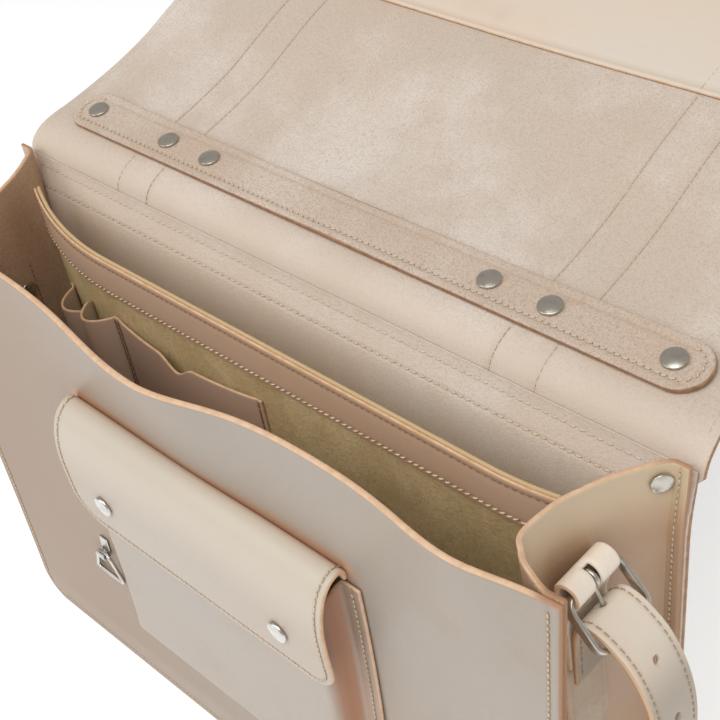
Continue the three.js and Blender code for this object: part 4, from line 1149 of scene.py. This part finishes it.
falling = pocketFlapCurve.run > pocket["foldRun"]
fallingZ, fallingRun = pocketFlapCurve.points[falling, 1], pocketFlapCurve.run[falling]
snapRun = float(np.interp(-pocket["snapZ"], -fallingZ, fallingRun))
for x, word in ((-pocket["snapSpread"], "left"), (pocket["snapSpread"], "right")):
    spot = np.array(x), np.array(snapRun)
    out = -normalOf(pocketFlapAt, *spot)
    seat = pocketFlapAt(*spot) + out * (body["gusset"] / 2 + 0.05)
    cap = capProfile(pocket["snapRadius"], rivet["capHeight"], pocket["snapCrown"])
    makePart("pocket_snap_" + word, turned(cap, seat, out), brightNickel, "cap")
print("front pocket made")

# side tabs and buckles, made on the right and mirrored
side = {
    "strapWidth": 25, "lineY": -2, "foot": 148, "tip": 9, "outerFoot": 206, "loopZ": 249, "loopRadius": 4.6,
    "tipRise": (0, 1.2, 3, 5.5, 9), "tongueZ": (172, 188, 204, 220, 236), "outerZ": (232, 220),
    "tongueRows": 300, "tongueTop": 230, "sewnTop": 229, "slotDrop": 13.5,
    "wire": 1.6, "prong": 1.3, "farX": 205.2, "farZ": 230.3, "slotHalf": 1.75, "seamIn": 3.2,
    "prongRows": [(194.2, 240.2), (196.6, 234), (200, 228.6), (206, 226.6)],
    "band": 1.15, "bandFlat": 2.1, "bend": 5.5,  # the frame's half thickness, width over that, corners
}


def gussetFace(z):
    parts = np.linspace(0.15, 0.85, 57)
    spots = gussetAt(parts, np.full(57, float(z)))
    near = np.abs(spots[:, 1] - side["lineY"]) < side["strapWidth"] / 2 + 2
    return spots[near, 0].max() + body["gusset"] / 2 + body["facetRoom"]


tabHalf = side["strapWidth"] / 2
tabSeat = body["gap"] + body["gusset"] / 2
loopX = gussetFace(side["loopZ"]) + tabSeat + side["loopRadius"]
tongueFoot = [side["foot"] + rise for rise in side["tipRise"]]
tabPath = [(gussetFace(z) + tabSeat, z) for z in (*tongueFoot, *side["tongueZ"])]
tabPath += [(loopX + side["loopRadius"] * math.cos(a), side["loopZ"] + side["loopRadius"] * math.sin(a))
            for a in np.radians(np.linspace(180, -50, 10))]
outerSeat = tabSeat + body["gusset"] + body["gap"]
tabPath += [(gussetFace(z) + outerSeat, z) for z in (*side["outerZ"], side["outerFoot"])]
tabCurve = RoundCurve(tabPath, 30)
tongueZ, tongueRuns = tabCurve.points[:side["tongueRows"], 1], tabCurve.run[:side["tongueRows"]]
tongueRun = float(np.interp(side["tongueTop"], tongueZ, tongueRuns))


def tabAt(run, across):
    spot = tabCurve.atRun(run)
    return point(spot[..., 0], side["lineY"] + across, spot[..., 1])


def tabHalfAt(run):
    rise = np.where(run < tongueRun, tabCurve.atRun(run)[..., 1] - side["foot"], 99)
    return roundedHalf(tabHalf, side["tip"], rise)


def tabOver(run, share):
    return tabAt(run, share * tabHalfAt(run))


def tabSeamGap(run, share):
    inFrom = np.minimum(tabHalfAt(run) * (1 - np.abs(share)), run)
    return np.abs(inFrom - side["seamIn"]) + unsewn * (run > tongueRun + 4)


inLoop = (tabCurve.points[:, 0] > loopX - 1) & (tabCurve.points[:, 1] > side["loopZ"] - side["slotDrop"])
slotRuns = (float(tabCurve.run[inLoop].min()), float(tabCurve.run[inLoop].max()))
slotShare = side["slotHalf"] / tabHalf
makePair("side_tab", leather(
    tabOver, gridLines(0, tabCurve.length, 1.5, marks=slotRuns),
    gridLines(-1, 1, 1.5, tabHalf,
              marks=[-slotShare, slotShare, *inFromEdges(tabHalf, 2.4, 3.2, 4) / tabHalf]),
    body["gusset"], slot=(*slotRuns, -slotShare, slotShare), slotSize=tabHalf,
    stepU=0.3, stepV=0.02, seam=tabSeamGap), tabLeather)

hingeBar = np.array([loopX + 1.1, side["loopZ"] - 0.9])
frameWay = np.array([side["farX"], side["farZ"]]) - hingeBar
frameLength = np.linalg.norm(frameWay)
frameWay = frameWay / frameLength


# a closed outline with round bends at its corners
def bentOutline(corners, bend, steps=8):
    corners = np.asarray(corners, float)
    out = []
    for i, corner in enumerate(corners):
        start = corner + unit(corners[i - 1] - corner) * bend
        end = corner + unit(corners[(i + 1) % len(corners)] - corner) * bend
        t = np.linspace(0, 1, steps)[:, None]
        out.append((1 - t) ** 2 * start + 2 * t * (1 - t) * corner + t ** 2 * end)
    return np.vstack(out)


buckleHalf = tabHalf + 0.8 + side["wire"]
frameOutline = bentOutline([
    (0, -buckleHalf), (frameLength, -buckleHalf), (frameLength, buckleHalf), (0, buckleHalf)], side["bend"])
frameSpots = point(hingeBar[0] + frameWay[0] * frameOutline[:, 0], side["lineY"] + frameOutline[:, 1],
                   hingeBar[1] + frameWay[1] * frameOutline[:, 0])
frameFacing = np.array([-frameWay[1], 0, frameWay[0]])
eyeTurn = np.radians(np.linspace(-60, 200, 22))
prongEye = side["band"] * side["bandFlat"] + side["prong"] * 0.75
prongRows = [(hingeBar[0] + prongEye * math.cos(a), side["lineY"], hingeBar[1] + prongEye * math.sin(a))
             for a in eyeTurn[::-1]]
prongRows += [(x, side["lineY"], z) for x, z in side["prongRows"]]
prongCurve = RoundCurve(prongRows, 8)
makePair("buckle", joined([
    wire(frameSpots, side["band"], sides=20, closed=True, broad=frameFacing, flat=side["bandFlat"]),
    wire(prongCurve.points, np.linspace(side["prong"], side["prong"] * 0.7, len(prongCurve.points))),
]), satinNickel, "wire")


def gussetCap(part, z, way, radius):
    spot = np.array(part), np.array(float(z))
    out = way * normalOf(gussetAt, *spot, gusset["partStep"])
    seat = gussetAt(*spot) + out * (body["gusset"] / 2 + gusset["capGap"])
    return turned(capProfile(radius, rivet["capHeight"]), seat, out)


makePair("gusset_rivet", gussetCap(*gusset["cornerCap"]), nickel, "cap")
makePair("tab_rivet", gussetCap(*gusset["tabCap"]), nickel, "cap")
print("tabs and buckles made")

# shoulder strap: place and smooth side's direction along its right half, then an arc on the floor
strapFloor = body["strap"] / 2 + 2 * body["gap"]
strap = {
    "rows": [
        (191.2, -2, 199, -1, 0, 0), (191.2, -2, 214, -1, 0, 0), (191.4, -2, 227, -1, 0, 0.1),
        (193.4, -2, 234, -1, 0, 0.6), (197.6, -2, 236.9, -0.2, 0, 1), (203, -2, 235.9, 0.3, 0, 1),
        (209, -2, 232.2, 0.6, 0, 1), (215, -2, 226.6, 0.8, 0, 0.8), (222, -2, 214, 1, 0, 0.4),
        (226.4, -2, 197, 1, 0, 0.2), (228.6, -2, 172, 1, 0.1, 0), (230, 0, 140, 1, 0.35, 0),
        (231.5, 4, 105, 0.8, 0.8, 0.1), (233, 11, 70, 0.35, 1, 0.2), (234.5, 21, 40, 0.1, 1, 0.45),
        (236, 36, 16, 0, 0.7, 1), (237, 54, 5.6, 0, 0.25, 1), (236.8, 69, 2.6, 0, 0.1, 1),
        (236.4, 86, strapFloor, 0, 0, 1),
    ],
    "bendY": 96, "bendRadius": 236, "squash": 1.055, "steps": 10, "seamIn": 3, "seamLines": (2.3, 3, 3.7),
    "hole": 1.65, "firstHole": 9.6, "holeSpacing": 28, "holeLines": np.linspace(-3.2, 3.2, 9),
    "shadeTop": 232, "shadeTopRun": 26, "shadeFoot": 100, "shadeFootRun": 60,
}


def strapRoute():
    half = [list(row) for row in strap["rows"]]
    wide, deep = strap["bendRadius"], strap["bendRadius"] * strap["squash"]
    for i in range(1, strap["steps"]):
        angle = math.pi / 2 * i / strap["steps"]
        half.append([wide * math.cos(angle), strap["bendY"] + deep * math.sin(angle), strapFloor, 0, 0, 1])
    behind = [[0, strap["bendY"] + deep, strapFloor, 0, 0, 1]]
    other = [[-r[0], r[1], r[2], -r[3], r[4], r[5]] for r in reversed(half)]
    return np.array(half + behind + other, float)


strapTable = strapRoute()
strapCurve = RoundCurve(strapTable[:, :3], 60)
strapFacing = RoundCurve(strapTable[:, 3:] + 1e-6 * strapTable[:, :3], 60)


def strapAt(run, across):
    t = np.interp(run, strapCurve.run, strapCurve.share)
    step = 0.15 / len(strapTable)
    way = strapCurve.atShare(t + step) - strapCurve.atShare(t - step)
    across = unit(np.cross(strapFacing.atShare(t), way)) * np.asarray(across)[..., None]
    return strapCurve.atShare(t) + across


# painted shade: the stretch that hangs at the sides is darker than the bend and the part on the floor
def strapSideShade(run, across):
    z = strapAt(run, across)[..., 2]
    below = smooth((strap["shadeTop"] - z) / strap["shadeTopRun"])
    return below * smooth((z - strap["shadeFoot"]) / strap["shadeFootRun"])


strapHalf = side["strapWidth"] / 2
holeRuns = [strap["firstHole"] + i * strap["holeSpacing"] for i in range(5)]
holeRuns += [strapCurve.length - run for run in holeRuns]
makePart("shoulder_strap", leather(
    strapAt, gridLines(0, strapCurve.length, 3.2, marks=around(holeRuns, *strap["holeLines"])),
    gridLines(-strapHalf, strapHalf, 1.6,
              marks=[*strap["holeLines"], *inFromEdges(strapHalf, *strap["seamLines"])]),
    body["strap"], holes=[(run, 0, strap["hole"]) for run in holeRuns], both=True, pressed=0.22,
    seam=lambda run, across: np.abs(strapHalf - np.abs(across) - strap["seamIn"]), stepU=1.0, stepV=0.5,
    drawn=strapSideShade), strapLeather)
print("shoulder strap made:", round(strapCurve.length), "mm")

# wire catches on the front, one on each side of the pocket
catch = {
    "spread": 115, "z": 89, "wire": 1.4, "metal": 1, "width": 7, "height": 10, "ringTop": 4.9, "ringBase": 12,
    "ringHeight": 18, "ringWire": 1.15,
}


def makeCatch(x):
    eyeRadius = catch["wire"] + 0.5 + catch["metal"] / 2
    face, footFace = (float(frontAt(np.array(x), np.array(z))[1]) - body["panel"] / 2 - body["gap"]
                      for z in (catch["z"], catch["z"] + catch["height"]))
    eyeY = face - catch["metal"] / 2 - eyeRadius
    path = [(lerp(-footFace, -face, share) + catch["metal"] / 2, catch["z"] + catch["height"] * (1 - share))
            for share in (0, 0.5)]
    path += [(-eyeY + eyeRadius * math.cos(a), catch["z"] - eyeRadius * math.sin(a))
             for a in np.radians(np.linspace(180, -50, 14))]
    curve = RoundCurve(path, 10)

    def clipAt(run, across):
        spot = curve.atRun(run)
        return point(x + across, -spot[..., 0], spot[..., 1])

    half = catch["width"] / 2
    clip = leather(clipAt, gridLines(0, curve.length, 0.7), gridLines(-half, half, 1), catch["metal"],
                   rimWidth=0.5, stepU=0.3, stepV=0.3)
    outline = bentOutline([(-catch["ringTop"], 0), (-catch["ringBase"], -catch["ringHeight"]),
                           (catch["ringBase"], -catch["ringHeight"]), (catch["ringTop"], 0)], 3)
    ring = wire(point(x + outline[:, 0], eyeY, catch["z"] + outline[:, 1]), catch["ringWire"], closed=True)
    return {key: clip[key] for key in ("verts", "faces")}, ring


for way, word, rider in ((1, "right", "case"), (-1, "left", "catch_ring")):
    clipMade, ringMade = makeCatch(pocket["x"] + way * catch["spread"])
    makePart("catch_clip_" + word, clipMade, brightNickel, "metal")
    makePart("catch_ring_" + word, ringMade, brightNickel, "wire", rider)
print("catches made")

# sewing: how deep the thread lies in thick leather, in the thin band and pocket, and in straps
grooved, thinGrooved, strapGrooved = 0.18, 0.1, 0.12


def bodySewing():
    rows = []
    outline = panelSeam(front["seamIn"], body["height"] - 4)
    foot, right = outline[:, 1] < body["corner"], outline[:, 0] > 0
    for line, size in ((outline[~foot & ~right], 1), (outline[foot], 0.5), (outline[~foot & right], 1)):
        rows.append(sewnRow(frontAt, line[:, 0], line[:, 1], body["panel"] / 2 - grooved, size=size))
    z = np.minimum(outline[:, 1], body["backHeight"] - 4)
    rows.append(sewnRow(backAt, outline[:, 0], z, -(body["panel"] / 2 - grooved)))
    z = np.linspace(gusset["foot"] + 3, body["height"] - 3, 160)
    for part in flangeSeams:
        for way in (1, -1):
            row = sewnRow(gussetOn(way), part, z, body["gusset"] / 2 - grooved, stepU=gusset["partStep"])
            rows.append(row if way > 0 else mirrored(row))
    return joined(rows)


makePiece("body_sewing", bodySewing(), paleThread)


def hingeSewing():
    x = np.linspace(-backTop["rowHalf"], backTop["rowHalf"], 200)
    rows = [sewnRow(backFace, x, z, 0.05, pitch=backTop["pitch"], size=0.8) for z in backTop["hingeRows"]]
    halfLong, halfWide = stripHalf - flap["stripSeam"], stripRound - flap["stripSeam"]
    turn = np.linspace(-math.pi / 2, math.pi / 2, 24)
    bend = np.stack([halfLong - halfWide + halfWide * np.cos(turn), halfWide * np.sin(turn)], -1)
    straight = np.stack([np.linspace(0, halfLong - halfWide, 60), np.full(60, -halfWide)], -1)
    line = np.vstack([straight, bend])
    for way in (1, -1):
        rows.append(sewnRow(flapAt, way * line[:, 0], stripRun + line[:, 1],
                            onFlap + body["panel"] - grooved - 0.1, slant=22 * way))
    return joined(rows)


makePiece("hinge_sewing", hingeSewing(), hingeThread)


def flapSewing():
    rows = []
    how = {"pitch": 3.0, "size": 0.55, "slant": 2}
    onFace = body["panel"] / 2 - grooved
    nearRun = np.linspace(flap["seamStart"], stripRun - stripRound - 1, 20)
    midRun = np.linspace(stripRun + stripRound + 1, facingRun - 1, 90)
    farRun = np.linspace(facingRun + 1, flap["length"] - 8, 60)
    for seam in flap["strapSeams"]:
        rows += [sewnRow(flapAt, seam, run, onFace, **how) for run in (nearRun, midRun)]
        rows.append(sewnRow(lifted(flapAt, onFlap), seam, farRun, body["thin"] - grooved, **how))
    for way in (-1, 1):
        for run in (np.linspace(50, stripRun - 2, 30), np.linspace(stripRun + 2, facingRun - 1, 90)):
            rows.append(sewnRow(flapAt, way * (flapHalfAt(run) - flap["edgeSeam"]), run, onFace, **how))
    return joined(rows)


makePiece("flap_sewing", flapSewing(), flapThread)

bandLine = np.linspace(divider["left"] + 3, divider["right"] - 3, 160)
bandOut = body["thin"] / 2 - thinGrooved
makePiece("band_sewing", sewnRow(bandAt, bandLine, bandSeams[0], bandOut, slant=24, cover=0.94),
          bandThread)


def insideSewing():
    how = {"stepU": 0.3, "stepV": 0.005, "size": 0.8}
    rows = [sewnRow(bandAt, bandLine, bandSeams[1], bandOut, size=0.45, slant=4, cover=0.5)]
    share = np.linspace(0.02, 0.985, 40)
    rows += [sewnRow(innerPocketAt, seam, share, bandOut, **how) for seam in innerPocket["seams"]]
    foot = np.linspace(innerPocket["left"] + 1, innerPocket["right"] - 1, 60)
    rows.append(sewnRow(innerPocketAt, foot, 0.025, bandOut, **how))
    return joined(rows)


makePiece("inside_sewing", insideSewing(), brownThread)


def pocketSewing():
    half, low = pocket["half"] - pocket["seamIn"], pocket["bottom"] + pocket["seamIn"]
    down = np.linspace((-half, pocket["top"] - 2), (-half, low), 60)
    outline = np.vstack([down, np.linspace((-half, low), (half, low), 90)[1:-1], (down * (-1, 1))[::-1]])
    rows = [sewnRow(pocketAt, outline[:, 0], outline[:, 1], body["lining"] / 2 - 0.15, stepU=0.3, stepV=0.3)]
    inset, radius, half = pocket["flapSeamIn"], pocket["flapCorner"], pocket["flapHalf"]
    turn = np.linspace(0, math.pi / 2, 14)
    hub = np.array([half - radius, pocketEnd - radius])
    halfLine = np.vstack([
        np.linspace((half - inset, 3), (half - inset, pocketEnd - radius), 50),
        hub + (radius - inset) * np.stack([np.cos(turn), np.sin(turn)], -1),
        np.linspace((half - radius, pocketEnd - inset), (0, pocketEnd - inset), 40)[1:]])
    line = np.vstack([halfLine, (halfLine * (-1, 1))[::-1][1:]])
    face = body["gusset"] / 2 - strapGrooved
    return joined(rows + [sewnRow(pocketFlapAt, line[:, 0], line[:, 1], out) for out in (-face, face)])


makePiece("pocket_sewing", pocketSewing(), paleThread)


def strapSewing():
    run = np.linspace(4, strapCurve.length - 4, 900)
    edge, face = strapHalf - strap["seamIn"], body["strap"] / 2 - strapGrooved
    return joined([
        sewnRow(strapAt, run, across, out, stepU=1.0, pitch=3.6, size=0.7, slant=3, cover=0.62)
        for across in (edge, -edge) for out in (face, -face)])


makePiece("strap_sewing", strapSewing(), fineThread)


# the tongue is sewn through the gusset, so its outline shows on both sides
def tabSewing():
    half, radius = tabHalf - side["seamIn"], side["tip"] - side["seamIn"]
    turn = np.linspace(0, math.pi / 2, 10)
    hub = np.array([half - radius, side["foot"] + side["tip"]])
    right = np.vstack([
        np.linspace((half, side["sewnTop"]), (half, hub[1]), 50),
        (hub + radius * np.stack([np.cos(turn), -np.sin(turn)], -1))[1:]])
    line = np.vstack([right, (right * (-1, 1))[::-1]])
    run = np.interp(line[:, 1], tongueZ, tongueRuns)
    outer = sewnRow(tabAt, run, line[:, 0], body["gusset"] / 2 - strapGrooved, stepU=0.3, slant=3)
    parts = np.linspace(0.1, 0.9, 121)
    spots = [np.interp(side["lineY"] + y, gussetAt(parts, np.full(121, z))[:, 1], parts) for y, z in line]
    inner = sewnRow(gussetAt, spots, line[:, 1], -(body["gusset"] / 2 - thinGrooved),
                    stepU=gusset["partStep"], slant=3)
    return joined([outer, inner, mirrored(outer), mirrored(inner)])


makePiece("tab_sewing", tabSewing(), brownThread)
print("sewing made")

# studio
studio = {
    "floor": (250, 249, 247), "floorWorn": (247, 246, 244), "reach": 6,
    "floorGlow": 0.32, "glowTone": (0.9, 1, 1.1, 1), "sky": 0.45, "skyTone": (1, 0.95, 0.9, 1),
    "lights": [  # name, place, target, width, power
        ("softbox_over", (0.4, -0.7, 2.0), (0, 0.1, 0.25), 1.5, 20.5),
        ("softbox_front_left", (-0.9, -1.4, 1.5), (0, 0.1, 0.25), 1.3, 12),
    ],
}


def makeFloor():
    finish = Finish("studio_floor")
    worn = finish.between(finish.noise(3, 3), 0.3, 0.7)
    finish.shade(
        Base_Color=finish.mix(worn, tone(*studio["floor"]), tone(*studio["floorWorn"])),
        Roughness=0.7,
        Emission_Color=studio["glowTone"],
        Emission_Strength=studio["floorGlow"],
    )
    mesh = bpy.data.meshes.new("floor")
    far = studio["reach"]
    mesh.from_pydata([(-far, -far, 0), (far, -far, 0), (far, far, 0), (-far, far, 0)], [], [(0, 1, 2, 3)])
    mesh.materials.append(finish.material)
    floor = bpy.data.objects.new("floor", mesh)
    bpy.context.scene.collection.objects.link(floor)


def aimed(place, target, roll=0):
    back = unit(np.array(place) - np.array(target))
    right = unit(np.cross((0, 0, 1), back))
    up = np.cross(back, right)
    turn = math.radians(roll)
    right, up = math.cos(turn) * right + math.sin(turn) * up, math.cos(turn) * up - math.sin(turn) * right
    matrix = Matrix.Identity(4)
    for row in range(3):
        matrix[row] = (right[row], up[row], back[row], place[row])
    return matrix


makeFloor()
for name, place, target, width, power in studio["lights"]:
    lamp = bpy.data.lights.new(name, "AREA")
    lamp.size, lamp.energy = width, power
    lampObject = bpy.data.objects.new(name, lamp)
    lampObject.matrix_world = aimed(place, target)
    bpy.context.scene.collection.objects.link(lampObject)
world = bpy.data.worlds.new("studio")
world.use_nodes = True
sky = world.node_tree.nodes["Background"].inputs
sky["Color"].default_value, sky["Strength"].default_value = studio["skyTone"], studio["sky"]
bpy.context.scene.world = world
bpy.context.scene.view_settings.view_transform = "Standard"

# camera at the photograph's angle
shot = {"place": (0.37402, -0.24217, 0.61969), "azimuth": 50.062, "elevation": 40.484, "roll": -10.46,
        "lens": 65.685, "sensor": 36}


def makeCamera():
    azimuth, elevation = math.radians(shot["azimuth"]), math.radians(shot["elevation"])
    flat = math.cos(elevation)
    back = np.array([math.sin(azimuth) * flat, -math.cos(azimuth) * flat, math.sin(elevation)])
    data = bpy.data.cameras.new("shot")
    data.sensor_width, data.lens = shot["sensor"], shot["lens"]
    camera = bpy.data.objects.new("shot", data)
    camera.matrix_world = aimed(shot["place"], np.array(shot["place"]) - back, shot["roll"])
    bpy.context.scene.collection.objects.link(camera)
    bpy.context.scene.camera = camera


makeCamera()
